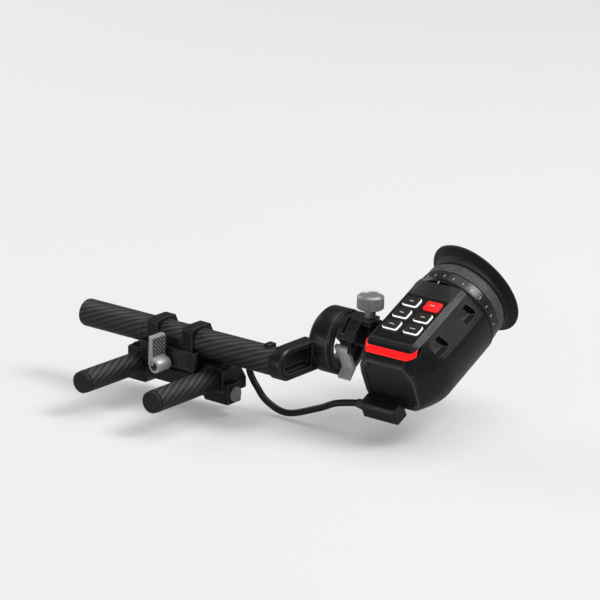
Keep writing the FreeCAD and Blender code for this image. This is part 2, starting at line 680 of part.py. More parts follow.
def make_bracket():
    """Side plate on the tilt hub, and a shelf over the viewfinder's foot."""
    body = new_body("tilt_bracket")
    plate = sketch_on(body, "YZ_Plane", dims.bracket_left)
    outline(plate, [
        (36.5, 8.6), (40.5, 7.4), (46.0, 6.2), (56.0, 2.0), (62.0, 4.0),
        (61.0, 18.0), (dims.shelf_rear, dims.shelf_top), (dims.shelf_front, dims.shelf_top),
        (33.0, 19.5), (31.0, 13.6)])
    pad(body, plate, dims.bracket_thickness)
    shelf = sketch_on(body, "XY_Plane", dims.shelf_top)
    outline(shelf, [
        (dims.bracket_left + 1, dims.shelf_front), (dims.shelf_right, dims.shelf_front),
        (dims.shelf_right, 46.0), (dims.shelf_right - 3.5, dims.shelf_rear),
        (dims.bracket_left + 1, dims.shelf_rear)])
    pad(body, shelf, dims.shelf_thickness).Reversed = True
    apron = sketch_on(body, "YZ_Plane", dims.bracket_left + 1)
    outline(apron, [
        (dims.shelf_front, dims.shelf_top), (32.0, 20.4), (29.5, 14.0), (32.0, 13.2),
        (34.4, 18.6), (dims.shelf_front + 1.5, dims.shelf_top - dims.shelf_thickness)])
    pad(body, apron, 14.0)
    # an ear under the apron carries the catch's pin
    ear = sketch_on(body, "YZ_Plane", dims.catch_right + 0.3)
    outline(ear, [
        (30.0, 5.5), (32.5, 3.6), (35.2, 5.5), (35.2, 12.0), (36.0, 19.5), (33.0, 18.0),
        (30.4, 14.5)])
    pad(body, ear, 2.3)
    pin_hole = sketch_on(body, "YZ_Plane", dims.catch_right)
    circle(pin_hole, dims.catch_y, dims.catch_z, 1.5)
    pocket(body, pin_hole, 5, back=True)
    knob_hole = sketch_on(body, "XY_Plane", dims.shelf_top)
    circle(knob_hole, dims.knob_x, dims.knob_y, 2.5 + dims.running_gap)
    pocket(body, knob_hole, 10)
    slot = sketch_on(body, "XY_Plane", dims.shelf_top + 1)
    outline(slot, [(109.0, 31.0), (111.2, 31.0), (111.2, 40.5), (109.0, 40.5)])
    pocket(body, slot, 14)
    pin_length = dims.catch_right + 2.6 - dims.catch_left
    catch_pin = rod("x", dims.catch_left, dims.catch_y, dims.catch_z, 1.5, pin_length)
    node("catch_pin", catch_pin)
    return body


def make_release_lever():
    """Bent thumb plate that hangs from the catch pin, raked like the viewfinder."""
    body = new_body("release_lever")
    body.Placement = Placement(
        Vector(dims.catch_left.number, dims.catch_y.number, dims.catch_z.number),
        Rotation(X_AXIS, dims.eye_pitch.number))
    width = dims.catch_right - dims.catch_left
    face = dims.catch_thickness / 2
    side_view = sketch_on(body, "YZ_Plane")
    outline(side_view, [
        (face, 1.0), (face, -15.9), (-7.2, -19.9), (-7.9, -17.9), (-face, -14.4), (-face, 1.0)])
    pad(body, side_view, width)
    hub = sketch_on(body, "YZ_Plane")
    circle(hub, 0, 0, 2.6)
    pad(body, hub, width)
    groove = sketch_on(body, "XZ_Plane", face)
    outline(groove, [(4.3, -13.4), (5.1, -13.4), (5.1, -3.2), (4.3, -3.2)])
    pocket(body, groove, 0.5)
    hole = sketch_on(body, "YZ_Plane")
    circle(hole, 0, 0, 1.5 + dims.running_gap)
    pocket(body, hole, 40, both=True)


def make_knob():
    body = new_body("lock_knob")
    body.Placement = Placement(
        Vector(dims.knob_x.number, dims.knob_y.number, dims.knob_floor.number), Rotation())
    disc = sketch_on(body, "XY_Plane")
    circle(disc, 0, 0, dims.knob_radius)
    base = pad(body, disc, dims.knob_height)
    base = soften_body(body, base, "Fillet", 1.2, lambda e: isinstance(e.Curve, Part.Circle))
    rim = sketch_on(body, "XY_Plane", dims.knob_height)
    circle(rim, 0, 0, dims.knob_radius - 2.2)
    pocket(body, rim, 0.5)
    flute = sketch_on(body, "XY_Plane", dims.knob_height)
    circle(flute, dims.knob_radius + 0.25, 0, 0.55)
    flutes = pocket(body, flute, dims.knob_height - 1.4)
    pattern_round(body, flutes, "Z_Axis", dims.knob_flutes)
    bore = sketch_on(body, "XY_Plane")
    circle(bore, 0, 0, 2.5)
    pocket(body, bore, 6.0, back=True)
    stud = rod("z", dims.knob_x, dims.knob_y, 13.5, 2.5, dims.knob_floor + 5.8 - 13.5)
    collar = rod("z", dims.knob_x, dims.knob_y, dims.shelf_top + 0.1, 3.6,
                 dims.knob_floor - 0.1 - dims.shelf_top)
    node("knob_stud", fuse(stud, collar))


def d_section(inset=0.0):
    """Half outline of the viewfinder body's section, from the flank up to the panel."""
    flank = math.radians(18)
    radius = dims.body_radius - inset
    return [
        (radius * math.cos(flank), radius * math.sin(flank)),
        (dims.top_half + dims.shoulder_drop - inset, dims.top_height - dims.shoulder_drop),
        (dims.top_half - inset, dims.top_height - inset)]


def rim_section(inset=0.0):
    """Half outline of the front rim, with the same number of points as d_section."""
    flank = math.radians(8)
    radius = dims.rim_radius - inset
    return [
        (radius * math.cos(flank), radius * math.sin(flank)),
        (dims.rim_half + 4.2 - inset, dims.rim_top - 4.6),
        (dims.rim_half - inset, dims.rim_top - inset)]


def body_outline(sketch, half):
    """Closed section: an arc under the axis, then flanks, shoulders and a flat top."""
    chain = half + [(-x, y) for x, y in reversed(half)]
    first = sketch.GeometryCount
    for (x0, y0), (x1, y1) in zip(chain, chain[1:]):
        start = Vector(size(x0).number, size(y0).number, 0)
        end = Vector(size(x1).number, size(y1).number, 0)
        sketch.addGeometry(Part.LineSegment(start, end), False)
    x, y = (size(v).number for v in half[0])
    radius = math.hypot(x, y)
    arc = Part.Arc(Vector(-x, y, 0), Vector(0, -radius, 0), Vector(x, y, 0))
    last = sketch.addGeometry(arc, False)
    for i in range(first, last - 1):
        sketch.addConstraint(Sketcher.Constraint("Coincident", i, 2, i + 1, 1))
    for i, (px, py) in enumerate(chain[:-1]):
        pin_point(sketch, first + i, 1, px, py)
    pin_point(sketch, last - 1, 2, chain[-1][0], chain[-1][1])
    sketch.addConstraint(Sketcher.Constraint("Coincident", last, 1, last - 1, 2))
    sketch.addConstraint(Sketcher.Constraint("Coincident", last, 2, first, 1))
    sketch.addConstraint(Sketcher.Constraint("PointOnObject", last, 3, -1))
    return sketch


# Sketches on XZ_Plane look along +Y, so a shift of -w puts one at distance w along the axis.

def loft(body, sections, subtract=False):
    kind = "SubtractiveLoft" if subtract else "AdditiveLoft"
    feature = body.newObject("PartDesign::" + kind, "loft")
    feature.Profile = sections[0]
    feature.Sections = sections[1:]
    return feature


def seam_cut(body, keep_front):
    """Trims the shell at the slanted seam between the front cover and the body."""
    top = dims.body_front - (dims.seam_gap if keep_front else 0.0)
    bottom = dims.seam_bottom - (dims.seam_gap if keep_front else 0.0)
    far = 0.0 if keep_front else -90.0
    sketch = sketch_on(body, "YZ_Plane")
    outline(sketch, [
        (far, 40.0), (far, -40.0), (bottom + (bottom - top) * (8.0 / 32.0), -40.0),
        (top - (bottom - top) * (12.6 / 59.4), 40.0)])
    return pocket(body, sketch, 120, both=True)


def make_main_shell():
    body = new_body("main_shell", EYE_FRAME)
    outer = sketch_on(body, "XZ_Plane", -dims.body_rear)
    body_outline(outer, d_section()[:2])
    pad(body, outer, dims.body_rear - dims.body_front + 3)
    inner = sketch_on(body, "XZ_Plane", -dims.body_rear + 2.4)
    body_outline(inner, [
        d_section(dims.shell_wall)[0],
        (dims.top_half - 0.6, dims.top_height - dims.shoulder_drop + 1.0)])
    pocket(body, inner, 90).Reversed = True
    seam_cut(body, keep_front=False)
    neck = sketch_on(body, "XZ_Plane", -dims.body_rear + 3)
    circle(neck, 0, 0, dims.neck_bore - 0.4)
    pocket(body, neck, 12, both=True)
    for along in NOTCH_PLACES:
        # a pad inside the wall keeps it thick behind each notch
        backing = sketch_on(body, "XZ_Plane", -(along + NOTCH_BEHIND + NOTCH_WALL))
        outline(backing, [(28.1, 11.8), (21.2, 21.8), (18.5, 20.0), (25.4, 10.0)])
        pad(body, backing, NOTCH_BEHIND + NOTCH_AHEAD + 2 * NOTCH_WALL)
        notch = sketch_on(body, "XZ_Plane", -(along + NOTCH_BEHIND))
        outline(notch, [(26.0, 12.4), (29.9, 15.1), (24.9, 22.3), (21.0, 19.6)])
        pocket(body, notch, NOTCH_BEHIND + NOTCH_AHEAD, back=True)
    screws = sketch_on(body, "XY_Plane", -33)
    heads = sketch_on(body, "XY_Plane", -33)
    for x, along in SHELL_SCREW_PLACES:
        circle(screws, x, along, 1.05)
        circle(heads, x, along, 1.95)
    pocket(body, screws, 6, back=True)
    pocket(body, heads, 3.75, back=True)
    return body


def make_front_cover():
    body = new_body("front_cover", EYE_FRAME)
    start = sketch_on(body, "XZ_Plane", -dims.body_front - 8)
    body_outline(start, d_section())
    pad(body, start, 8.0)
    first = sketch_on(body, "XZ_Plane", -dims.body_front)
    body_outline(first, d_section())
    last = sketch_on(body, "XZ_Plane", -dims.rim_front)
    body_outline(last, rim_section())
    loft(body, [first, last])
    hollow = sketch_on(body, "XZ_Plane", -dims.body_front - 9)
    body_outline(hollow, d_section(dims.shell_wall))
    pocket(body, hollow, 9.0).Reversed = True
    inner_first = sketch_on(body, "XZ_Plane", -dims.body_front)
    body_outline(inner_first, d_section(dims.shell_wall))
    inner_last = sketch_on(body, "XZ_Plane", -dims.rim_front - dims.shell_wall - 0.8)
    body_outline(inner_last, rim_section(dims.shell_wall))
    loft(body, [inner_first, inner_last], subtract=True)
    seam_cut(body, keep_front=True)
    dish = sketch_on(body, "XZ_Plane", -dims.rim_front)
    body_outline(dish, rim_section(1.8))
    pocket(body, dish, 0.9)
    socket = sketch_on(body, "XZ_Plane", -dims.rim_front)
    mirrored_outline(socket, [(4.9, dims.socket_height - 2.1), (4.9, dims.socket_height + 2.1)])
    pocket(body, socket, 8)
    return body


def make_top_cover():
    """Shouldered lid that carries the button panel, with a ramp up to the eyepiece ring."""
    body = new_body("top_cover", EYE_FRAME)
    lid = sketch_on(body, "XZ_Plane", -dims.body_rear)
    low = dims.top_height - dims.shoulder_drop + 0.02
    mirrored_outline(lid, [
        (dims.top_half + dims.shoulder_drop, low), (dims.top_half, dims.top_height)])
    pad(body, lid, dims.body_rear - dims.body_front)
    ramp = sketch_on(body, "YZ_Plane")
    outline(ramp, [
        (dims.panel_rear + 0.6, low + 1), (dims.body_rear, low + 1),
        (dims.body_rear, dims.ramp_top), (dims.body_rear - 2.6, dims.ramp_top)])
    pad(body, ramp, 2 * dims.panel_half - 7, both=True)
    seat = sketch_on(body, "XY_Plane", dims.top_height)
    mirrored_outline(seat, [
        (dims.panel_half + 0.1, dims.panel_front - 0.1), (dims.panel_half + 0.1, dims.panel_rear + 0.1)])
    pocket(body, seat, dims.panel_thickness + 0.1)
    seam_cut(body, keep_front=False)
    window = sketch_on(body, "XY_Plane", dims.top_height)
    mirrored_outline(window, [
        (dims.panel_half - 1.2, dims.panel_front + 1.2), (dims.panel_half - 1.2, dims.panel_rear - 1.2)])
    pocket(body, window, 6)
    return body


def key_places():
    """Column and row centres of the six buttons, rear row first."""
    for row_number, row_name in enumerate(("rear", "middle", "front")):
        for side, side_name in ((-1, "left"), (1, "right")):
            yield ("button_%s_%s" % (row_name, side_name), side * dims.key_column / 2,
                   dims.key_rear - dims.key_row * row_number)


def make_panel_and_buttons():
    half_w = dims.key_width / 2
    half_l = dims.key_length / 2
    panel = box(-dims.panel_half, dims.panel_half, dims.panel_front, dims.panel_rear,
                dims.top_height - dims.panel_thickness, dims.top_height)
    ribs = []
    for name, x, along in key_places():
        panel = cut(panel, box(x - half_w - dims.key_gap, x + half_w + dims.key_gap,
                               along - half_l - dims.key_gap, along + half_l + dims.key_gap, 20, 30))
        if name.endswith("left"):
            ribs.append(box(-0.45, 0.45, along - 3.6, along + 3.6,
                            dims.top_height - 0.5, dims.top_height + 0.35))
    panel = fuse(panel, *ribs)
    node("button_panel", panel, EYE_FRAME)
    for name, x, along in key_places():
        cap = box(x - half_w, x + half_w, along - half_l, along + half_l,
                  dims.top_height - dims.key_skirt, dims.top_height + dims.key_height)
        cap = soften(cap, "Fillet", dims.key_radius.number, lambda e: e.BoundBox.ZLength > 1)
        top = dims.top_height.number + dims.key_height.number
        cap = soften(cap, "Chamfer", 0.5, lambda e: e.BoundBox.ZMin > top - 0.01)
        node(name, cap, EYE_FRAME)


def make_tally_light():
    """Red lamp band across the front bevel, wrapping both shoulders."""
    run = dims.rim_front - dims.body_front
    slope = math.atan2((dims.top_height - dims.rim_top).number, -run.number)
    tilt = Rotation(X_AXIS, math.degrees(slope))
    bar = box(-13.6, 13.6, -7.9, -4.0, 0.03, 0.65)
    corner = Vector(0, dims.body_front.number, dims.top_height.number)
    bar.Placement = Placement(corner, tilt).multiply(bar.Placement)
    node("tally_light", bar, EYE_FRAME)


def make_electronics():
    board = box(-12.6, 12.6, -57.5, -18.0, 22.75, 23.55)
    switches = [box(x - 2.2, x + 2.2, along - 2.2, along + 2.2, 23.4, 24.1)
                for name, x, along in key_places()]
    node("switch_board", fuse(board, *switches), EYE_FRAME)
    display = box(-12.5, 12.5, -44.0, -41.5, -8.5, 8.5)
    node("display_module", display, EYE_FRAME)
    frame_plate = cut(box(-16, 16, -41.4, -39.4, -12.5, 12.5), box(-11.5, 11.5, -50, -30, -7.2, 7.2))
    node("display_frame", frame_plate, EYE_FRAME)
    node("main_board", box(-17, 17, -50.0, -48.4, -16, 16), EYE_FRAME)
    socket = cut(box(-4.7, 4.7, -72.6, -64.5, dims.socket_height - 1.9, dims.socket_height + 1.9),
                 box(-4.3, 4.3, -75.0, -66.0, dims.socket_height - 1.5, dims.socket_height + 1.5))
    node("usb_socket", socket, EYE_FRAME)


def make_eyepiece():
    gap = dims.running_gap
    turned("eyepiece_tube", [
        (dims.body_rear - 4.6, dims.neck_bore - 0.5), (dims.body_rear - 4.6, 24.6),
        (dims.body_rear - 2.45, 24.6), (dims.body_rear - 2.45, dims.neck_bore - 0.4 - 0.05),
        (dims.body_rear + 0.05, dims.neck_bore - 0.4 - 0.05), (dims.body_rear + 0.05, 28.4),
        (-1.2, 28.4), (-1.2, dims.neck_radius), (dims.diopter_rear, dims.neck_radius),
        (dims.diopter_rear, dims.cup_neck_radius), (dims.cup_neck_rear, dims.cup_neck_radius),
        (dims.cup_neck_rear, 22.6), (dims.body_rear - 2.0, 22.6)], EYE_FRAME)
    turned("trim_ring", [
        (dims.body_rear + 0.05, 28.45), (dims.body_rear + 0.05, 30.4), (-1.0, dims.ridge_radius),
        (0.5, dims.ridge_radius), (0.9, 30.6), (0.9, 27.0 + 0.02), (-1.15, 27.0 + 0.02),
        (-1.15, 28.45)], EYE_FRAME)
    ring = new_body("diopter_ring", EYE_FRAME)
    section = sketch_on(ring, "YZ_Plane")
    outline(section, [
        (1.0, dims.neck_radius + gap), (1.0, dims.diopter_radius), (7.4, dims.diopter_radius),
        (7.9, dims.diopter_radius - 0.5), (8.4, dims.diopter_radius - 0.1),
        (16.4, dims.diopter_radius - 0.6),
        (dims.diopter_rear - 0.1, 29.2), (dims.diopter_rear - 0.1, dims.neck_radius + gap)])
    revolve(ring, section)
    notch = sketch_on(ring, "XZ_Plane", -16.0)
    circle(notch, dims.diopter_radius + 0.35, 0, 1.0)
    grips = pocket(ring, notch, 7.0)
    grips.Reversed = True
    pattern_round(ring, grips, "Y_Axis", dims.grip_count)
    turned("lens_barrel", [
        (-38.0, 18.65), (-38.0, 22.5), (-2.0, 22.5),
        (-2.0, dims.carrier_radius + gap), (-31.5, dims.carrier_radius + gap),
        (-31.5, 18.65)], EYE_FRAME)
    turned("field_lens", [(-37.0, 0), (-37.0, 17.0), (-34.0, 18.6), (-32.4, 18.6), (-32.4, 0)],
           EYE_FRAME)
    turned("lens_carrier", [
        (-24.0, 17.4), (-24.0, dims.carrier_radius), (12.0, dims.carrier_radius),
        (12.0, dims.lens_radius + 0.05), (3.0, dims.lens_radius + 0.05), (3.0, 17.4)], EYE_FRAME)
    turned("eye_lens", [(4.0, 0), (4.0, dims.lens_radius), (6.5, dims.lens_radius), (9.4, 14.0),
                        (10.6, 6.0), (10.8, 0)], EYE_FRAME)
    mount_front = dims.diopter_rear + 0.2
    mount_rear = dims.cup_neck_rear - 0.2
    turned("eyecup_mount", [
        (mount_front, dims.cup_neck_radius + gap), (mount_front, dims.cup_mount_radius),
        (mount_rear, dims.cup_mount_radius), (mount_rear, dims.cup_neck_radius + gap)], EYE_FRAME)
    cup_front = dims.diopter_rear + 0.6
    cup_bore = dims.cup_mount_radius + 0.02
    turned("eyecup", [
        (cup_front, cup_bore), (cup_front, dims.cup_mount_radius + 1.8), (24.4, 29.6),
        (27.6, 31.6), (29.9, dims.cup_lip_radius), (dims.cup_rear, dims.cup_lip_radius),
        (dims.cup_rear, 32.6), (28.6, 28.8), (24.6, 26.8), (dims.cup_neck_rear, 26.2),
        (dims.cup_neck_rear, cup_bore)], EYE_FRAME)


def make_shell_fasteners():
    screws = []
    for x, along in SHELL_SCREW_PLACES:
        head = rod("z", x, along, -30.6, 1.9, 1.3)
        shank = rod("z", x, along, -30.6, 1.0, 5.2)
        screws.append(fuse(head, shank))
    node("shell_screws", group(*screws), EYE_FRAME)
    catches = []
    for along in NOTCH_PLACES:
        # drawn square to the flank: X is the distance from the optical axis
        catch = soften(
            box(28.5, 30.5, along - NOTCH_AHEAD + 0.4, along + NOTCH_BEHIND - 0.6, -3.9, -1.1),
            "Chamfer", 0.9,
            lambda e: e.BoundBox.XMin > 30.4)
        catch.Placement = Placement(Vector(), Rotation(Y_AXIS, -NOTCH_SLOPE)).multiply(
            catch.Placement)
        catches.append(catch)
    node("side_catches", group(*catches), EYE_FRAME)


def make_foot():
    """The viewfinder's foot fills the space between its flank and the bracket."""
    block = box(dims.bracket_left + dims.bracket_thickness + 2.4, 123.5, 42.0, 56.0, 9.0, 23.4)
    core = doc.addObject("Part::Cylinder", "clearance")
    bind(core, Radius=dims.body_radius, Height=80)
    core.Placement = EYE_FRAME.multiply(Placement(Vector(0, 0, 0), Rotation(X_AXIS, 90)))
    hole = rod("z", dims.knob_x, dims.knob_y, 8, 2.5 + dims.running_gap, 20)
    node("viewfinder_foot", cut(block, core, hole))


# ---------------------------------------------------------------- plug and cable

def make_cable():
    middle_y = (dims.plug_front + dims.plug_rear).number / 2
    middle_z = (dims.plug_floor + dims.plug_top).number / 2
    plug = box(dims.plug_left, dims.plug_right, dims.plug_front, dims.plug_rear, dims.plug_floor,
               dims.plug_top)
    plug = soften(plug, "Chamfer", 1.6, lambda e: e.BoundBox.YMax < dims.plug_front.number + 0.01)
    nose = box(-5.4, 5.4, dims.plug_rear - 1, dims.rim_front + 0.85,
               dims.socket_height - 2.4, dims.socket_height + 2.4)
    tongue = box(-4.2, 4.2, dims.rim_front - 1, -67.0,
                 dims.socket_height - 1.2, dims.socket_height + 1.2)
    node("cable_plug", fuse(plug, nose, tongue), EYE_FRAME)
    relief = cone("x", dims.plug_left - 5.5, middle_y, middle_z, dims.cable_radius + 0.5, 3.6, 5.5)
    throat = rod("x", dims.plug_left - 6, middle_y, middle_z, dims.cable_radius + 0.1, 4.0)
    node("strain_relief", cut(relief, throat), EYE_FRAME)
    start = EYE_FRAME.multVec(Vector(dims.plug_left.number - 2.2, middle_y, middle_z))
    radius = dims.cable_radius.number
    depth = dims.cable_depth.number
    sag = dims.cable_sag.number
    path_points = [
        start, Vector(start.x - 6, start.y, start.z), Vector(113, depth + 0.3, sag + 15.5),
        Vector(99, depth, sag + 9), Vector(74, depth, sag), Vector(57, depth, sag + 4.0),
        Vector(47.5, depth, sag + 13), Vector(41.5, depth, sag + 23), Vector(40.5, depth, sag + 34)]
    curve = Part.BSplineCurve()
    curve.interpolate(Points=path_points, InitialTangent=Vector(-1, 0, 0), FinalTangent=Vector(0, 0, 1))
    stops = curve.discretize(Number=CABLE_PIECES + 1)
    lengths = [Part.makeCylinder(radius, (b - a).Length, a, b - a) for a, b in zip(stops, stops[1:])]
    bends = [Part.makeSphere(radius, spot) for spot in stops[1:-1]]
    cable = doc.addObject("Part::Feature", "cable")
    cable.Shape = lengths[0].multiFuse(lengths[1:] + bends)
    node("cable", cable)


make_rod(-1, "rod_left", "rod_cap_left")
make_rod(1, "rod_right", "rod_cap_right")
make_clamp_base()
make_jaw(-1, "rod_jaw_left")
make_jaw(1, "rod_jaw_right")
make_jaw_screws()
make_block_covers()
make_front_plate()
make_saddle()
make_cap()
make_saddle_fasteners()
make_clamp_lever()
make_cross_tube()
make_arm()
make_tilt_head()
make_bracket()
make_release_lever()
make_knob()
make_foot()
make_main_shell()
make_front_cover()
make_top_cover()
make_panel_and_buttons()
make_tally_light()
make_electronics()
make_eyepiece()
make_shell_fasteners()
make_cable()

doc.recompute()
problems = []
for obj in doc.Objects:
    if "Invalid" in obj.State or "Error" in obj.State:
        problems.append(obj.Name + " " + str(obj.State))
for part in NODES:
    if part.Shape.isNull() or not part.Shape.isValid() or not part.Shape.Solids:
        problems.append(part.Label + " has no valid solid")
if problems:
    raise RuntimeError("; ".join(problems))
os.makedirs("parts", exist_ok=True)
for part in NODES:
    part.Shape.exportStep("parts/%s.step" % part.Label)
    print(part.Label, round(part.Shape.Volume, 1), len(part.Shape.Solids))
print(len(NODES), "nodes")
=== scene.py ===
import bpy
import bmesh
import json
import math
from mathutils import Matrix, Vector


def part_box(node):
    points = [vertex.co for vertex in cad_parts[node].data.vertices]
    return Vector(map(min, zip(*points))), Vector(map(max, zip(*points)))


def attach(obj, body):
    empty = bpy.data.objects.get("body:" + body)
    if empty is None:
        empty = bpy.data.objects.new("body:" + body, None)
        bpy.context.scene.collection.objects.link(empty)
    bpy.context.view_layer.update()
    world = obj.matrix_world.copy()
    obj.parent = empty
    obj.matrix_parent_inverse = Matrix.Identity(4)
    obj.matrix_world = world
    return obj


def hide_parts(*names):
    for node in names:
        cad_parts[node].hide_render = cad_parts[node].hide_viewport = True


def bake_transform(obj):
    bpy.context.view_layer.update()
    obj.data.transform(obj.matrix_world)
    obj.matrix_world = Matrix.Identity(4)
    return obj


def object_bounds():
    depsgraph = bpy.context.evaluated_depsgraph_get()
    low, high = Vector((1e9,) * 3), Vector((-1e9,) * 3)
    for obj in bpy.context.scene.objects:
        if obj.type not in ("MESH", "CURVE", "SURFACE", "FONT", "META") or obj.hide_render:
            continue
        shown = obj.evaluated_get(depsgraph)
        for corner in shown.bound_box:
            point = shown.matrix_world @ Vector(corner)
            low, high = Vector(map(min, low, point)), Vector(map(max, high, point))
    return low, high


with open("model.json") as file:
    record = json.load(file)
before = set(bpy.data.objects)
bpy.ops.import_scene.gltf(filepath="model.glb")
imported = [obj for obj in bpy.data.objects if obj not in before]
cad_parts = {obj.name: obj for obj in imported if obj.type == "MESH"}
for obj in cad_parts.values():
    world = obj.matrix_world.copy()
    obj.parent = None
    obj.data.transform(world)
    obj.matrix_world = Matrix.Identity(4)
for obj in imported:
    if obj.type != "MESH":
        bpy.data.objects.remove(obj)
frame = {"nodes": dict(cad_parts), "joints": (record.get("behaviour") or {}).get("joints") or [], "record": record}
CAD_LOW, CAD_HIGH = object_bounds()
NODES = frame["nodes"]
JOINTS = {joint["name"]: joint for joint in frame["joints"]}
MM = 0.001

# The viewfinder's own frame: x across, y along the optical axis towards the eye, z out of the panel.
EYE_ORIGIN = Vector(JOINTS["diopter_turn"]["pos_m"])
EYE_AXIS = Vector(JOINTS["diopter_turn"]["axis"])
EYE_UP = -Vector(JOINTS["press_rear_left"]["axis"])
EYE_FRAME = Matrix((
    (1, EYE_AXIS.x, EYE_UP.x, EYE_ORIGIN.x),
    (0, EYE_AXIS.y, EYE_UP.y, EYE_ORIGIN.y),
    (0, EYE_AXIS.z, EYE_UP.z, EYE_ORIGIN.z),
    (0, 0, 0, 1)))
ROW_FRAME = Matrix.Identity(4)


# ------------------------------------------------------------------ node trees from arithmetic

class Socket:
    """A shader socket, or a number, that arithmetic turns into math nodes."""

    def __init__(self, graph, value):
        self.graph = graph
        self.value = value

    def do(self, operation, *others):
        """The result of a math node with this socket as its first input."""
        node = self.graph.tree.nodes.new("ShaderNodeMath")
        node.operation = operation
        for slot_input, value in zip(node.inputs, (self,) + others):
            self.graph.feed(slot_input, value)
        return Socket(self.graph, node.outputs[0])

    def __add__(self, other):
        return self.do("ADD", other)

    def __sub__(self, other):
        return self.do("SUBTRACT", other)

    def __mul__(self, other):
        return self.do("MULTIPLY", other)

    def __truediv__(self, other):
        return self.do("DIVIDE", other)

    __radd__ = __add__
    __rmul__ = __mul__

    def __rsub__(self, other):
        return Socket(self.graph, other) - self


class Graph:
    """A material and the means to fill its node tree."""

    def __init__(self, name):
        self.material = bpy.data.materials.new(name)
        self.material.use_nodes = True
        self.tree = self.material.node_tree
        self.shader = self.tree.nodes["Principled BSDF"]

    def feed(self, slot_input, value):
        """Links a socket to an input, or sets the input to a plain value."""
        if isinstance(value, Socket):
            value = value.value
        if isinstance(value, bpy.types.NodeSocket):
            self.tree.links.new(value, slot_input)
        else:
            slot_input.default_value = value

    def add(self, kind, result=0, settings=None, **inputs):
        """A new node of the kind, its inputs fed by name; gives the output that result names."""
        node = self.tree.nodes.new("ShaderNode" + kind)
        for name, value in (settings or {}).items():
            setattr(node, name, value)
        for name, value in inputs.items():
            self.feed(node.inputs[name.replace("_", " ")], value)
        return Socket(self, node.outputs[result])

    def split(self, vector):
        """The three components of a vector socket."""
        node = self.tree.nodes.new("ShaderNodeSeparateXYZ")
        self.feed(node.inputs[0], vector)
        return [Socket(self, output) for output in node.outputs]

    def place(self):
        """x, y, z in millimetres in the piece's own frame, as three sockets, and the vector."""
        vector = self.add("TexCoord", "Object")
        scaled = self.add("VectorMath", 0, {"operation": "SCALE"}, Vector=vector, Scale=1000.0)
        return self.split(scaled) + [scaled]

    def noise(self, vector, scale, detail=3.0, roughness=0.55):
        return self.add("TexNoise", 0, None, Vector=vector, Scale=scale, Detail=detail,
                        Roughness=roughness)

    def ramp(self, value, low, high, to_low=0.0, to_high=1.0):
        """A smooth step of value from low to high."""
        node = self.tree.nodes.new("ShaderNodeMapRange")
        node.interpolation_type = "SMOOTHSTEP"
        for slot_input, number in zip(node.inputs, (value, low, high, to_low, to_high)):
            self.feed(slot_input, number)
        return Socket(self, node.outputs[0])

    def blend(self, factor, first, second):
        node = self.tree.nodes.new("ShaderNodeMix")
        node.data_type = "RGBA"
        self.feed(node.inputs[0], factor)
        self.feed(node.inputs[6], first)
        self.feed(node.inputs[7], second)
        return Socket(self, node.outputs[2])

    def bump(self, height, distance_mm, strength):
        node = self.tree.nodes.new("ShaderNodeBump")
        self.feed(node.inputs["Height"], height)
        node.inputs["Distance"].default_value = distance_mm * MM
        node.inputs["Strength"].default_value = strength
        return Socket(self, node.outputs[0])

    def edge_mask(self, radius_mm):
        """1 on sharp edges, 0 on flat ground: how far a rounded normal leans from the true one. The materials
        paint highlights along edges with it, and the anodising its edge wear as well.
        """
        bevel = self.add("Bevel", 0, {"samples": 4}, Radius=radius_mm * MM)
        true = self.add("NewGeometry", "True Normal")
        dot = self.add("VectorMath", 1, {"operation": "DOT_PRODUCT"})
        node = dot.value.node
        self.feed(node.inputs[0], bevel)
        self.feed(node.inputs[1], true)
        return self.ramp(Socket(self, dot.value), 0.995, 0.86)

    def set(self, **inputs):
        for name, value in inputs.items():
            self.feed(self.shader.inputs[name.replace("_", " ")], value)


def colour(red, green, blue):
    return (red, green, blue, 1.0)


# ------------------------------------------------------------------ materials

def black_anodised():
    """Black anodised aluminium whose edges are painted a lighter grey: a painted highlight along every edge, with
    patches of wear on top of it.
    """
    g = Graph("black_anodised")
    place = g.place()[3]
    cloud = g.noise(place, 0.12, 4.0)
    grain = g.noise(place, 9.0, 2.0)
    edge = g.edge_mask(0.6)
    worn = edge * g.ramp(g.noise(place, 0.9, 4.0), 0.36, 0.66)
    ground = g.blend(cloud, colour(0.0028, 0.0028, 0.0032), colour(0.0060, 0.0060, 0.0068))
    # Painted highlight: every edge is lightened towards grey, and the worn patches add wear along the edges.
    g.set(Base_Color=g.blend(edge * 0.6 + worn * 0.3, ground, colour(0.20, 0.20, 0.21)),
          Roughness=g.ramp(grain, 0.25, 0.75, 0.28, 0.40) - worn * 0.06,
          Normal=g.bump(grain, 0.02, 0.5), Specular_IOR_Level=0.42)
    return g.material


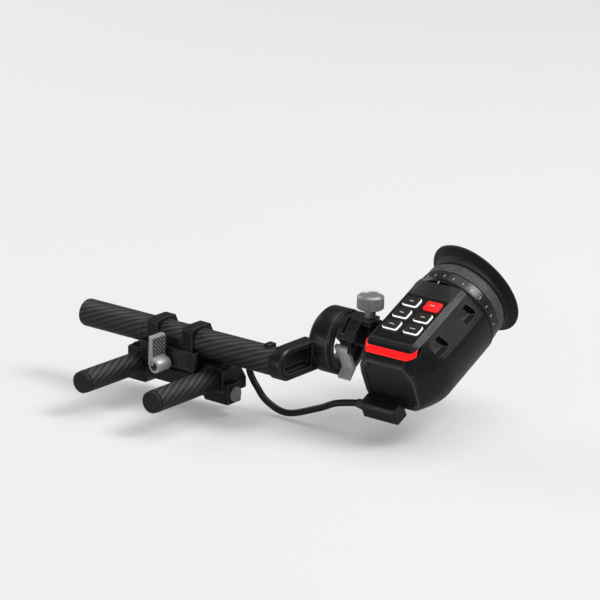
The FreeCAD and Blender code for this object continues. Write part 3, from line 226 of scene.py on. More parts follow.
def carbon(axis, centre_a, centre_b, radius):
    """Clear-coated 2x2 twill wrapped round a tube. Diagonal ribs climb the tube at a shallow angle. The warp tows
    are painted lighter as a painted sheen, far more on the upper side, which is painted lighter as light from
    above, and the tow crowns carry a painted highlight there.
    """
    g = Graph("carbon_" + axis)
    x, y, z, place = g.place()
    if axis == "x":
        along, first, second = x, (y - centre_a) * -1, z - centre_b
    else:
        along, first, second = y, x - centre_a, z - centre_b
    round_it = second.do("ARCTAN2", first) * radius
    lean = math.radians(24)
    tow = 1.2
    # p runs along the twill ribs and q across them
    p = along * math.cos(lean) + round_it * math.sin(lean)
    q = round_it * math.cos(lean) - along * math.sin(lean)
    wobble = g.noise(place, 0.35, 2.0) * 0.25
    a = (p + q) * (math.sqrt(0.5) / tow) + wobble
    b = (q - p) * (math.sqrt(0.5) / tow) + wobble
    cell = (a.do("FLOOR") + b.do("FLOOR")).do("FLOORED_MODULO", 4.0)
    warp = cell.do("LESS_THAN", 1.5)
    crown_a = ((a.do("FRACT") - 0.5) * math.pi).do("COSINE")
    crown_b = ((b.do("FRACT") - 0.5) * math.pi).do("COSINE")
    crown = warp * crown_a + (1.0 - warp) * crown_b
    fibre_a = g.noise(g.add("CombineXYZ", 0, None, X=a * 9.0, Y=b * 0.6), 1.0, 2.0)
    fibre_b = g.noise(g.add("CombineXYZ", 0, None, X=b * 9.0, Y=a * 0.6), 1.0, 2.0)
    fibre = warp * fibre_a + (1.0 - warp) * fibre_b
    # Painted top light: the upward-facing side of the tube is painted lighter.
    painted_top_light = g.ramp(g.split(g.add("NewGeometry", "Normal"))[2], -0.35, 0.75)
    # Warp tows are painted lighter than weft tows as a painted sheen, strongly on the upper side; the crowns get a
    # painted highlight there; the fibre noise is grain.
    light = warp * (0.25 + painted_top_light * 0.6) + crown * 0.1 * painted_top_light + fibre * 0.2 - 0.05
    g.set(Base_Color=g.blend(light, colour(0.004, 0.004, 0.0045), colour(0.066, 0.066, 0.072)),
          Roughness=0.46 - warp * 0.05 + fibre * 0.1,
          Normal=g.bump(crown * 0.8 + fibre * 0.2, 0.12, 0.6))
    g.set(Coat_Weight=0.06, Coat_Roughness=0.2, Specular_IOR_Level=0.4)
    return g.material


def silver_metal():
    """Satin aluminium with painted shade in its grooves and a painted highlight on its edges."""
    g = Graph("silver_metal")
    place = g.place()[3]
    grain = g.noise(place, 6.0, 3.0)
    cloud = g.noise(place, 0.25, 4.0)
    edge = g.edge_mask(0.3)
    # Painted shade: ambient occlusion darkens the grooves and hollows.
    painted_groove_shade = g.ramp(g.add("AmbientOcclusion", "AO", Distance=0.9 * MM), 0.45, 0.95, 1.0, 0.0)
    ground = g.blend(cloud, colour(0.30, 0.306, 0.312), colour(0.38, 0.387, 0.393))
    ground = g.blend(painted_groove_shade, ground, colour(0.02, 0.02, 0.021))
    # Painted highlight: the edges are lightened towards near white.
    g.set(Base_Color=g.blend(edge * 0.8, ground, colour(0.85, 0.86, 0.86)),
          Metallic=0.5, Roughness=g.ramp(grain, 0.3, 0.7, 0.30, 0.42),
          Normal=g.bump(grain, 0.02, 0.35))
    return g.material


LEVER_TONES = colour(0.42, 0.43, 0.44), colour(0.54, 0.55, 0.56)


def bright_metal():
    """Satin silver of the release lever, with a painted highlight on its edges."""
    g = Graph("bright_metal")
    grain = g.noise(g.place()[3], 6.0, 3.0)
    edge = g.edge_mask(0.5)
    ground = g.blend(grain, *LEVER_TONES)
    # Painted highlight: the edges are lightened towards near white.
    g.set(Base_Color=g.blend(edge * 0.8, ground, colour(0.90, 0.91, 0.91)),
          Metallic=0.15, Roughness=0.36 + grain * 0.08, Normal=g.bump(grain, 0.02, 0.35))
    return g.material


def knurled_metal(pitch, low, high):
    """The clamp lever: silver with painted shade in the crossed grooves on the outer face of its paddle, and a
    painted highlight on its edges.
    """
    g = Graph("knurled_metal")
    _, y, z, place = g.place()
    grain = g.noise(place, 6.0, 3.0)
    edge = g.edge_mask(0.5)
    rising, falling = ((((turn / pitch).do("FRACT") - 0.5).do("ABSOLUTE")) * 2 for turn in (y + z, y - z))
    # Painted shade: the knurl's grooves are painted near black on the outward face, within the band.
    groove = g.ramp(rising.do("MAXIMUM", falling), 0.45, 0.7)
    outward = g.ramp(g.split(g.add("TexCoord", "Normal"))[0], 0.3, 0.6)
    band = z.do("GREATER_THAN", low) * z.do("LESS_THAN", high)
    ground = g.blend(grain, *LEVER_TONES)
    # Painted highlight: the edges are lightened towards near white.
    ground = g.blend(edge * 0.8, ground, colour(0.92, 0.93, 0.93))
    g.set(Base_Color=g.blend(groove * outward * band, ground, colour(0.012, 0.012, 0.013)),
          Metallic=0.3, Roughness=0.32 + grain * 0.08, Normal=g.bump(grain, 0.02, 0.35))
    return g.material


def steel():
    """Dark turned steel, with a painted highlight on its edges."""
    g = Graph("steel")
    grain = g.noise(g.place()[3], 5.0, 3.0)
    edge = g.edge_mask(0.2)
    # Painted highlight: the edges are lightened.
    ground = g.blend(grain + edge * 0.4, colour(0.06, 0.06, 0.065), colour(0.16, 0.16, 0.17))
    g.set(Base_Color=ground, Metallic=0.9, Roughness=g.ramp(grain, 0.3, 0.7, 0.3, 0.45),
          Normal=g.bump(grain, 0.02, 0.3))
    return g.material


def moulded_plastic(name, dark, light, rough):
    """Fine spark-eroded plastic: a pebbled bump, cloudy colour, a painted highlight that lightens its edges, and
    gloss from handling in patches and on the edges.
    """
    g = Graph(name)
    place = g.place()[3]
    pebbles = g.add("TexVoronoi", 0, None, Vector=place, Scale=4.0)
    cloud = g.noise(place, 0.08, 4.0)
    handled = g.ramp(g.noise(place, 0.05, 3.0), 0.4, 0.7)
    edge = g.edge_mask(0.6)
    ground = g.blend(cloud, colour(*dark), colour(*light))
    # Painted highlight: the edges are lightened towards grey.
    g.set(Base_Color=g.blend(edge * 0.5, ground, colour(0.26, 0.26, 0.27)),
          Roughness=rough + handled * -0.08 - edge * 0.1,
          Normal=g.bump(pebbles, 0.03, 0.6), Specular_IOR_Level=0.42)
    return g.material


def rubber():
    """Soft matt rubber with a little dust."""
    g = Graph("rubber")
    place = g.place()[3]
    fine = g.noise(place, 5.0, 4.0)
    dust = g.ramp(g.noise(place, 0.2, 5.0, 0.7), 0.5, 0.8)
    ground = g.blend(dust * 0.5 + fine * 0.2, colour(0.006, 0.006, 0.0065), colour(0.020, 0.020, 0.021))
    g.set(Base_Color=ground, Roughness=0.62 + fine * 0.15 - dust * 0.05,
          Normal=g.bump(fine, 0.05, 0.5), Sheen_Weight=0.08, Sheen_Roughness=0.4)
    return g.material


def lit_plastic(name, face, glow, strength):
    """Translucent coloured plastic with light behind it."""
    g = Graph(name)
    place = g.place()[3]
    patch = g.noise(place, 0.25, 3.0)
    grain = g.noise(place, 8.0, 2.0)
    g.set(Base_Color=g.blend(patch, colour(*face), colour(*glow)),
          Roughness=g.ramp(grain, 0.3, 0.7, 0.3, 0.42), Normal=g.bump(grain, 0.01, 0.3),
          Emission_Color=colour(*glow), Emission_Strength=patch * strength * 0.4 + strength * 0.8)
    return g.material


def coated_glass():
    """Dark lens glass whose violet anti-reflection coating shows as a painted reflection: violet painted into the
    colour towards grazing angles.
    """
    g = Graph("coated_glass")
    # Painted reflection: the colour turns violet as the surface turns away from view.
    lean = g.add("LayerWeight", "Facing", None, Blend=0.35)
    smear = g.noise(g.place()[3], 0.3, 4.0)
    g.set(Base_Color=g.blend(lean, colour(0.02, 0.03, 0.05), colour(0.12, 0.06, 0.16)),
          Roughness=g.ramp(smear, 0.45, 0.8, 0.03, 0.12), Specular_IOR_Level=0.8,
          Coat_Weight=1.0, Coat_Roughness=0.03)
    return g.material


def circuit_board():
    """Green board with a brick pattern of tracks."""
    g = Graph("circuit_board")
    place = g.place()[3]
    tracks = g.add("TexBrick", 1, None, Vector=place, Scale=0.6)
    speck = g.noise(place, 2.0, 3.0)
    ground = g.blend(tracks * 0.4 + speck * 0.3, colour(0.006, 0.03, 0.014), colour(0.03, 0.10, 0.05))
    g.set(Base_Color=ground, Roughness=g.ramp(speck, 0.3, 0.7, 0.25, 0.5),
          Normal=g.bump(tracks, 0.05, 0.5))
    return g.material


CROSS_TUBE_RADIUS = 9.5
ROD_RADIUS = 7.5
ROD_LOW, ROD_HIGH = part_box("rod_right")
ROD_X = (ROD_LOW.x + ROD_HIGH.x) / 2 / MM
ROD_Z = (ROD_LOW.z + ROD_HIGH.z) / 2 / MM
MOULDED = {
    # name: (darkest tone, lightest tone, roughness)
    "black_plastic": ((0.0035, 0.0035, 0.004), (0.010, 0.010, 0.011), 0.34),
    "panel_plastic": ((0.0015, 0.0015, 0.0015), (0.0035, 0.0035, 0.0035), 0.3),
    "key_plastic": ((0.012, 0.011, 0.009), (0.028, 0.025, 0.020), 0.32),
    "cable_jacket": ((0.004, 0.004, 0.004), (0.009, 0.009, 0.010), 0.42),
    "shoulder_plastic": ((0.006, 0.006, 0.0065), (0.012, 0.012, 0.013), 0.5),
    "ring_anodised": ((0.010, 0.010, 0.011), (0.024, 0.024, 0.026), 0.25),
    "white_print": ((0.62, 0.63, 0.64), (0.78, 0.79, 0.80), 0.4),
    "grey_metal": ((0.16, 0.162, 0.166), (0.22, 0.222, 0.226), 0.34),
    "rim_plastic": ((0.040, 0.040, 0.042), (0.060, 0.060, 0.063), 0.4),
    "front_plastic": ((0.011, 0.011, 0.012), (0.022, 0.022, 0.023), 0.36),
}
LIT = {
    # name: (colour of the plastic, colour of its light, strength)
    "key_red": ((0.6, 0.004, 0.006), (1.0, 0.012, 0.016), 0.9),
    "tally_red": ((0.5, 0.003, 0.003), (1.0, 0.004, 0.004), 0.8),
    "key_glow": ((0.8, 0.8, 0.8), (0.93, 0.95, 0.96), 0.8),
    "key_red_face": ((0.5, 0.004, 0.006), (0.8, 0.008, 0.012), 0.55),
}
MATERIALS = {
    "black_anodised": black_anodised(),
    "silver_metal": silver_metal(),
    "bright_metal": bright_metal(),
    "steel": steel(),
    "rubber": rubber(),
    "glass": coated_glass(),
    "circuit_board": circuit_board(),
}
for finish, tones in MOULDED.items():
    MATERIALS[finish] = moulded_plastic(finish, *tones)
for finish, tones in LIT.items():
    MATERIALS[finish] = lit_plastic(finish, *tones)
CARBON = {
    "cross_tube": carbon("x", 0.0, 0.0, CROSS_TUBE_RADIUS),
    "rod_right": carbon("y", ROD_X, ROD_Z, ROD_RADIUS),
    "rod_left": carbon("y", -ROD_X, ROD_Z, ROD_RADIUS),
}


def dress(piece, material):
    """Gives a piece one material in place of what it has."""
    piece.data.materials.clear()
    piece.data.materials.append(material)


def refine(piece, bevel_mm):
    """Rounds the edges of a machined piece with modifiers and leaves its own mesh alone."""
    weld = piece.modifiers.new("weld", "WELD")
    weld.merge_threshold = 0.002 * MM
    flatten = piece.modifiers.new("flatten", "DECIMATE")
    flatten.decimate_type = "DISSOLVE"
    flatten.angle_limit = math.radians(0.6)
    round_edges(piece, bevel_mm, segments=2, degrees=32)


for row in frame["record"]["subparts"]:
    piece = NODES[row["node"]]
    slot_name = row["material_slot"]
    dress(piece, CARBON[row["node"]] if slot_name == "carbon" else MATERIALS[slot_name])


# ------------------------------------------------------------------ mesh helpers, in millimetres

SLOTS = {row["node"]: row["material_slot"] for row in frame["record"]["subparts"]}


def add_object(name, data):
    """A new object in the scene."""
    thing = bpy.data.objects.new(name, data)
    bpy.context.scene.collection.objects.link(thing)
    return thing


def build_mesh(name, points, faces, place):
    """A mesh without doubled points, all its faces turned outwards."""
    mesh = bpy.data.meshes.new(name)
    mesh.from_pydata([place @ (Vector(p) * MM) for p in points], [], faces)
    mesh.validate()
    work = bmesh.new()
    work.from_mesh(mesh)
    bmesh.ops.remove_doubles(work, verts=work.verts, dist=0.004 * MM)
    bmesh.ops.recalc_face_normals(work, faces=work.faces)
    work.to_mesh(mesh)
    work.free()
    return mesh


def make_piece(name, points, faces, materials, body, stands_for=(), slot_name=None, matrix=EYE_FRAME,
               bevel=0.0):
    """A mesh from points in millimetres, which matrix puts in place: the viewfinder's frame by default."""
    mesh = build_mesh(name, points, faces, matrix)
    for material in materials if isinstance(materials, list) else [materials]:
        mesh.materials.append(material)
    piece = add_object(name, mesh)
    smooth(piece, 34)
    if bevel:
        round_edges(piece, bevel, segments=3, degrees=30)
    if body:
        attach(piece, body)
    if stands_for:
        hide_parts(*stands_for)
        slot_name = slot_name or SLOTS[stands_for[0]]
    return piece


def smooth(piece, degrees):
    """Smooth shading that breaks at edges sharper than the given angle."""
    piece.data.polygons.foreach_set("use_smooth", [True] * len(piece.data.polygons))
    piece.data.set_sharp_from_angle(angle=math.radians(degrees))


def round_edges(piece, width_mm, segments, degrees):
    """Bevels edges sharper than the given angle."""
    bevel = piece.modifiers.new("round_edges", "BEVEL")
    bevel.width = width_mm * MM
    bevel.segments = segments
    bevel.limit_method = "ANGLE"
    bevel.angle_limit = math.radians(degrees)
    bevel.harden_normals = True


def skin(rows, close_rows=False, close_ring=True):
    """Points and faces of a surface through rows of equal length. Open ends of a tube are capped."""
    count = len(rows[0])
    points = [p for row in rows for p in row]
    faces = []
    for j in range(len(rows) if close_rows else len(rows) - 1):
        a = j * count
        b = ((j + 1) % len(rows)) * count
        for i in range(count if close_ring else count - 1):
            k = (i + 1) % count
            faces.append((a + i, a + k, b + k, b + i))
    if close_ring and not close_rows:
        last = (len(rows) - 1) * count
        faces.append(tuple(range(count - 1, -1, -1)))
        faces.append(tuple(range(last, last + count)))
    return points, faces


def block_faces(start=0):
    """The six faces of a block whose eight points are its lower four and then its upper four."""
    sides = [(start + i, start + (i + 1) % 4, start + 4 + (i + 1) % 4, start + 4 + i) for i in range(4)]
    return [(start + 3, start + 2, start + 1, start), (start + 4, start + 5, start + 6, start + 7)] + sides


def lathe(profile, count, wave=None):
    """Turns (distance along, radius) points about the y axis.

    wave(angle, along, radius) adds to the radius."""
    rows = []
    for i in range(count):
        angle = 2 * math.pi * i / count
        ring = []
        for along, radius in profile:
            reach = radius + (wave(angle, along, radius) if wave else 0.0)
            ring.append((reach * math.cos(angle), along, reach * math.sin(angle)))
        rows.append(ring)
    return skin(rows, close_rows=True)


def arc(centre, radius, start, end, steps):
    """Points along an arc, angles in degrees."""
    spots = []
    for i in range(steps + 1):
        angle = math.radians(mix(start, end, i / steps))
        spots.append((centre[0] + radius * math.cos(angle), centre[1] + radius * math.sin(angle)))
    return spots


def line(start, end, steps):
    """Evenly spaced points along a straight line, both ends included."""
    return [(mix(start[0], end[0], i / steps), mix(start[1], end[1], i / steps)) for i in range(steps + 1)]


def rounded(corners, steps=6):
    """A closed outline through (x, y, radius) corners, each cut by an arc of the same step count."""
    spots = []
    count = len(corners)
    for i, (x, y, radius) in enumerate(corners):
        here = Vector((x, y))
        back = (Vector(corners[i - 1][:2]) - here).normalized()
        ahead = (Vector(corners[(i + 1) % count][:2]) - here).normalized()
        half = back.angle(ahead) / 2
        reach = radius / math.tan(half)
        centre = here + (back + ahead).normalized() * (radius / math.sin(half))
        first = here + back * reach - centre
        last = here + ahead * reach - centre
        for k in range(steps + 1):
            turn = first.angle_signed(last) * k / steps
            spoke = Matrix.Rotation(-turn, 2) @ first
            spots.append(tuple(centre + spoke))
    return spots


def divided(spots, step):
    """The same closed line with long stretches cut into pieces no longer than step."""
    out = []
    for a, b in zip(spots, spots[1:] + spots[:1]):
        pieces = max(1, math.ceil(math.dist(a, b) / step))
        out += [tuple(mix(u, v, i / pieces) for u, v in zip(a, b)) for i in range(pieces)]
    return out


def mix(a, b, t):
    return a + (b - a) * t


def ease(t):
    """A smooth step from 0 to 1."""
    t = min(1.0, max(0.0, t))
    return t * t * (3 - 2 * t)


# ------------------------------------------------------------------ viewfinder shells

# All in the viewfinder's frame: x across, w along the axis towards the eye, n up out of the panel.
# The body's section is round below, with a straight flank from FLANK_ANGLE up to the shoulder.
BODY_RADIUS = 31.4
FLANK_ANGLE = 18
SHOULDER_LOW = (19.5, 24.8)
SHOULDER_TOP = (16.9, 27.4)
BODY_REAR = -2.9
TAPER_START = -49.0
PANEL_FRONT = -61.0
# The rim of the front face, which the body tapers to.
RIM_W = -73.5
RIM_LOW = (20.4, 12.6)
RIM_TOP = (14.6, 19.6)
RIM_SIDE = 21.4
RIM_WAIST = 3.0
RIM_FLOOR = -17.4
RIM_CORNER = 9.5
# The right flank leans by FLANK_LEAN and lies FLANK_DISTANCE from the axis. Two notches are cut in it.
FLANK_LEAN = 34.8
FLANK_DISTANCE = 30.0
NOTCH_ENDS = (-6.5, -39.2)
NOTCH_DEPTH = 3.2


def flank_pairs():
    """(body point, rim point) pairs from the right shoulder down, round the bottom and up the left."""
    steps = 14
    angle = math.radians(FLANK_ANGLE)
    body = line(SHOULDER_LOW, (BODY_RADIUS * math.cos(angle), BODY_RADIUS * math.sin(angle)), steps)
    body += arc((0, 0), BODY_RADIUS, FLANK_ANGLE, -90, 60)[1:]
    rim = []
    for i in range(steps + 1):
        t = i / steps
        rim.append((mix(RIM_LOW[0], RIM_SIDE, ease(t * 1.4)), mix(RIM_LOW[1], RIM_WAIST, t)))
    corner = (RIM_SIDE - RIM_CORNER, RIM_FLOOR + RIM_CORNER)
    rim += line((RIM_SIDE, RIM_WAIST), (RIM_SIDE, corner[1]), steps)[1:]
    rim += arc(corner, RIM_CORNER, 0, -90, 32)[1:]
    rim += line((corner[0], RIM_FLOOR), (0, RIM_FLOOR), steps)[1:]
    right = list(zip(body, rim))
    left = [((-b[0], b[1]), (-r[0], r[1])) for b, r in reversed(right[:-1])]
    return right + left


def top_pairs():
    """The same for the shoulders and the top, from the left shoulder's foot to the right one's."""
    body = line(SHOULDER_LOW, SHOULDER_TOP, 4) + line(SHOULDER_TOP, (0, SHOULDER_TOP[1]), 8)[1:]
    rim = line(RIM_LOW, RIM_TOP, 4) + line(RIM_TOP, (0, RIM_TOP[1]), 8)[1:]
    half = list(zip(body, rim))
    left = [((-b[0], b[1]), (-r[0], r[1])) for b, r in half[:-1]]
    return left + half[::-1]


def seam_w(n):
    """Where the slanted seam between body and front cover crosses height n."""
    return -59.5 - 0.113 * n


def shell_point(pair, w, on_top, inset=0.0):
    """A point of the shell's outside at distance w along the axis, moved inwards by inset."""
    (body_x, body_n), (rim_x, rim_n) = pair
    if on_top:
        t = max(0.0, (PANEL_FRONT - w) / (PANEL_FRONT - RIM_W))
    else:
        t = max(0.0, (TAPER_START - w) / (TAPER_START - RIM_W)) ** 1.45
    x, n = mix(body_x, rim_x, t), mix(body_n, rim_n, t)
    shrink = 1 - inset / math.hypot(x, n)
    return (x * shrink, w, n * shrink)


def build_body_shell():
    """The main shell, from the eyepiece's ring to the slanted seam, with its two notches."""
    pairs = flank_pairs()
    # (share of the length, inset): the ends are rounded and turned inwards
    stations = [(0.0, 2.2), (0.0, 0.35), (0.004, 0.08), (0.008, 0.0)]
    stations += [(i / 40, 0.0) for i in range(1, 40)]
    stations += [(0.994, 0.0), (0.998, 0.1), (1.0, 0.35), (1.0, 2.2)]
    rows = []
    for share, inset in stations:
        rows.append([shell_point(pair, mix(BODY_REAR, seam_w(pair[0][1]), share), False, inset)
                     for pair in pairs])
    points, faces = skin(rows)
    shell = make_piece("body_shell", points, faces, MATERIALS["black_plastic"], "viewfinder",
                       ["main_shell"])
    for rear_end in NOTCH_ENDS:
        carve(shell, notch_prism(rear_end))
    smooth(shell, 30)


def flank_point(w, t, depth):
    """A point on the right flank: t runs up the flank, depth is measured outwards from it."""
    lean = math.radians(FLANK_LEAN)
    out = FLANK_DISTANCE + depth
    return (out * math.cos(lean) - t * math.sin(lean), w, out * math.sin(lean) + t * math.cos(lean))


def notch_prism(rear_end):
    """Closed tool for one notch: its rear end has a slanted corner."""
    # (w, t, corner radius)
    corners = [(rear_end - 12.8, 5.3, 1.8), (rear_end - 1.9, 5.3, 1.0), (rear_end, -1.6, 0.8),
               (rear_end - 1.2, -4.8, 0.5), (rear_end - 12.8, -4.8, 0.8)]
    outline = rounded(corners, 5)
    return skin([[flank_point(w, t, depth) for w, t in outline] for depth in (-NOTCH_DEPTH, 4.0)])


def carve(piece, tool):
    """Cuts a closed shape, given in the viewfinder's frame, out of a finished piece."""
    points, faces = tool
    mesh = build_mesh("tool", points, faces, EYE_FRAME)
    cutter = add_object("tool", mesh)
    cut = piece.modifiers.new("cut", "BOOLEAN")
    cut.operation = "DIFFERENCE"
    cut.solver = "EXACT"
    cut.object = cutter
    bpy.context.view_layer.update()
    result = bpy.data.meshes.new_from_object(piece.evaluated_get(bpy.context.evaluated_depsgraph_get()))
    piece.modifiers.remove(cut)
    old = piece.data
    piece.data = result
    bpy.data.meshes.remove(old)
    bpy.data.objects.remove(cutter)
    bpy.data.meshes.remove(mesh)


def build_catches():
    """A ramped strip lies along the lower side of each notch and ends in a slanted lip."""
    points, faces = [], []
    for rear_end in NOTCH_ENDS:
        # (w, t, height above the flank)
        corners = [(rear_end - 13.4, -0.4, 0.05), (rear_end - 6.3, -0.4, 1.2),
                   (rear_end - 0.9, -4.5, 1.05), (rear_end - 12.2, -4.7, 0.05)]
        faces += block_faces(len(points))
        points += [flank_point(w, t, -NOTCH_DEPTH - 0.02) for w, t, rise in corners]
        points += [flank_point(w, t, rise) for w, t, rise in corners]
    make_piece("catch_strips", points, faces, MATERIALS["black_plastic"], "viewfinder", ["side_catches"],
               bevel=0.22)


def build_front_cover():
    """Tapered front cover, closed by a face with a raised double rim round a sunken panel."""
    ring = [(pair, False) for pair in flank_pairs()] + [(pair, True) for pair in top_pairs()[1:-1]]
    seam_gap = 0.28
    stations = [(0.0, 2.2), (0.0, 0.35), (0.012, 0.1), (0.03, 0.0)]
    stations += [(i / 18, 0.0) for i in range(1, 18)]
    stations += [(0.985, 0.0), (1.0, 0.25)]
    rows = []
    for share, inset in stations:
        rows.append([shell_point(pair, mix(seam_w(pair[0][1]) - seam_gap, RIM_W, share), on_top, inset)
                     for pair, on_top in ring])
    # (height above the rim's plane, inset): the raised rim, a fine groove, a second border, the panel
    steps = [(0.35, 0.7), (0.55, 1.0), (0.55, 1.7), (0.2, 1.95), (-0.35, 2.0), (-0.35, 2.5), (0.15, 2.65),
             (0.15, 3.4), (-0.5, 3.9), (-0.95, 4.1), (-0.95, 4.8)]
    for lift, inset in steps:
        row = [shell_point(pair, RIM_W, on_top, inset) for pair, on_top in ring]
        rows.append([(x, w - lift, n) for x, w, n in row])
    points, faces = skin(rows)
    finishes = [MATERIALS[name] for name in ("black_plastic", "rim_plastic", "front_plastic")]
    shell = make_piece("front_shell", points, faces, finishes, "viewfinder", ["front_cover"])
    to_eye = EYE_FRAME.inverted()
    for polygon in shell.data.polygons:
        lift = RIM_W - (to_eye @ polygon.center).y / MM
        if lift > 0.3:
            polygon.material_index = 1
        elif len(polygon.vertices) > 4 and lift < -0.8:
            polygon.material_index = 2


def build_top_cover():
    """Thin cover over the shoulders and the top, down to the tally band."""
    pairs = top_pairs()
    stations = [(BODY_REAR, 0.3), (BODY_REAR - 0.25, 0.0)]
    stations += [(mix(BODY_REAR, PANEL_FRONT, i / 20), 0.0) for i in range(1, 21)]
    seam = seam_w(SHOULDER_TOP[1])
    stations += [(seam + 0.1, 0.0), (seam, 0.2)]
    rows = []
    for w, inset in stations:
        row = [shell_point(pair, w, True, inset) for pair in pairs]
        (left_x, left_w, left_n), (right_x, right_w, right_n) = row[0], row[-1]
        rows.append(row + [(right_x - 0.5, right_w, right_n - 0.9), (left_x + 0.5, left_w, left_n - 0.9)])
    points, faces = skin(rows)
    make_piece("top_shell", points, faces, MATERIALS["shoulder_plastic"], "viewfinder", ["top_cover"])


def build_panel():
    """Glossy black panel let into the top."""
    half, rear, front = 16.4, -16.2, -60.4
    low, high = 27.0, 27.62
    outline = divided([(half, rear), (half, front), (-half, front), (-half, rear)], 2.5)
    middle = -30
    rows = []
    for n, inset in ((low, 0.0), (high - 0.12, 0.0), (high, 0.15)):
        rows.append([(x - math.copysign(inset, x), w + (inset if w < middle else -inset), n)
                     for x, w in outline])
    points, faces = skin(rows)
    make_piece("panel", points, faces, MATERIALS["panel_plastic"], "viewfinder", ["button_panel"])


def build_ramp():
    """The wedge behind the panel, which rises towards the eyepiece."""
    rear = BODY_REAR + 0.2
    lower = [(16.2, -16.3), (16.2, -15.9), (17.0, rear), (-17.0, rear), (-16.2, -15.9), (-16.2, -16.3)]
    upper = [(14.2, -15.7, 27.7), (14.0, -15.5, 27.8), (10.6, -5.2, 30.35), (-10.6, -5.2, 30.35),
             (-14.0, -15.5, 27.8), (-14.2, -15.7, 27.7)]
    points, faces = skin([[(x, w, 26.4) for x, w in lower], [(x, w, 27.45) for x, w in lower], upper])
    make_piece("ramp", points, faces, MATERIALS["shoulder_plastic"], "viewfinder",
               slot_name="black_plastic", bevel=0.22)


def build_tally():
    """Lamp band that follows the front bevel and runs back along both shoulders."""
    pairs = top_pairs()
    last = len(pairs) - 1
    shoulder_steps = 4

    def edges(i):
        """Rear and front edge of the band at one point of the section."""
        t = min(i, last - i, shoulder_steps) / shoulder_steps
        return mix(-60.9, -65.6, t), mix(-63.8, -69.8, t)

    rows = []
    for share, lift in ((0.0, -0.3), (0.0, 0.3), (0.12, 0.5), (0.88, 0.5), (1.0, 0.3), (1.0, -0.3)):
        row = []
        for i, pair in enumerate(pairs):
            x, w, n = shell_point(pair, mix(*edges(i), share), True)
            row.append((x, w - lift * 0.5, n + lift * 0.85))
        rows.append(row)
    points, faces = skin(rows, close_rows=True, close_ring=False)
    count = len(pairs)
    faces.append(tuple(j * count for j in range(len(rows))))
    faces.append(tuple(j * count + last for j in range(len(rows) - 1, -1, -1)))
    make_piece("tally_band", points, faces, MATERIALS["tally_red"], "viewfinder", ["tally_light"])


def build_keys():
    """Six keycaps in two columns, each with a plain bar in place of a caption."""
    for row_name in ("rear", "middle", "front"):
        for side_name in ("left", "right"):
            name = row_name + "_" + side_name
            low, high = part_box("button_" + name)
            middle = EYE_FRAME.inverted() @ ((low + high) / 2) / MM
            build_keycap(name, middle)
            half_x = 2.0 if row_name == "front" else 1.6
            half_w = 0.36
            points = [(middle.x + a * half_x, middle.y + b * half_w, n) for n in (29.0, 29.1)
                      for a, b in ((1, 1), (-1, 1), (-1, -1), (1, -1))]
            make_piece("key_mark_" + name, points, block_faces(), MATERIALS["white_print"], "key_" + name,
                       slot_name="key_plastic")


def build_keycap(name, middle):
    """A dark top face over a skirt that glows from the light below."""
    node = "button_" + name
    half_x, half_w, corner = 5.7, 4.1, 1.6
    top_edge = 28.7
    rows = []
    for n, inset in ((26.0, 0.0), (28.4, 0.0), (28.6, 0.12), (28.62, 0.34), (28.95, 0.42), (29.05, 0.7)):
        x, w = half_x - inset, half_w - inset
        radius = max(0.4, corner - inset)
        outline = rounded([(x, w, radius), (x, -w, radius), (-x, -w, radius), (-x, w, radius)], 5)
        rows.append([(middle.x + across, middle.y + along, n) for across, along in outline])
    points, faces = skin(rows)
    names = ("key_red", "key_red_face") if SLOTS[node] == "key_red" else ("key_glow", "key_plastic")
    cap = make_piece("key_" + name, points, faces, [MATERIALS[n] for n in names], "key_" + name, [node])
    to_eye = EYE_FRAME.inverted()
    for face in cap.data.polygons:
        if (to_eye @ face.center).z / MM > top_edge:
            face.material_index = 1


# ------------------------------------------------------------------ eyepiece

def triangle_wave(value):
    """1 at whole numbers, 0 half way between them."""
    return abs((value % 1.0) * 2 - 1)


def knurl(around, pitch, start, end, depth):
    """A lathe wave that presses a diamond pattern into the band between start and end."""
    def wave(angle, along, radius):
        if not start < along < end:
            return 0.0
        turn = angle * around / (2 * math.pi)
        step = (along - start) / pitch
        return -depth * max(triangle_wave(turn + step), triangle_wave(turn - step))
    return wave


def build_eyepiece():
    """The fixed ridge ring and the focus ring with its knurled band."""
    ridge = [(-2.95, 28.5), (-2.95, 30.5), (-1.6, 31.1), (-0.9, 31.35), (0.1, 31.35), (0.45, 31.0),
             (0.8, 30.6), (0.8, 27.1), (-1.1, 27.1), (-1.1, 28.5)]
    points, faces = lathe(ridge, 180)
    make_piece("ridge_ring", points, faces, MATERIALS["black_anodised"], "viewfinder", ["trim_ring"])
    band_start, band_length, rows = 8.1, 7.8, 22
    section = [(1.0, 27.1), (1.0, 29.8), (1.35, 30.15), (7.2, 30.15), (7.4, 29.95), (7.4, 29.35),
               (7.9, 29.3), (8.0, 29.75)]
    section += [(band_start + band_length * i / rows, 30.05 - 0.5 * i / rows) for i in range(rows + 1)]
    section += [(16.1, 29.1), (17.0, 28.9), (17.05, 28.6), (17.05, 27.1)]
    margin = 0.02
    grip = knurl(90, 1.95, band_start + margin, band_start + band_length - margin, 0.55)
    points, faces = lathe(section, 560, wave=grip)
    make_piece("focus_ring", points, faces, MATERIALS["ring_anodised"], "diopter", ["diopter_ring"])


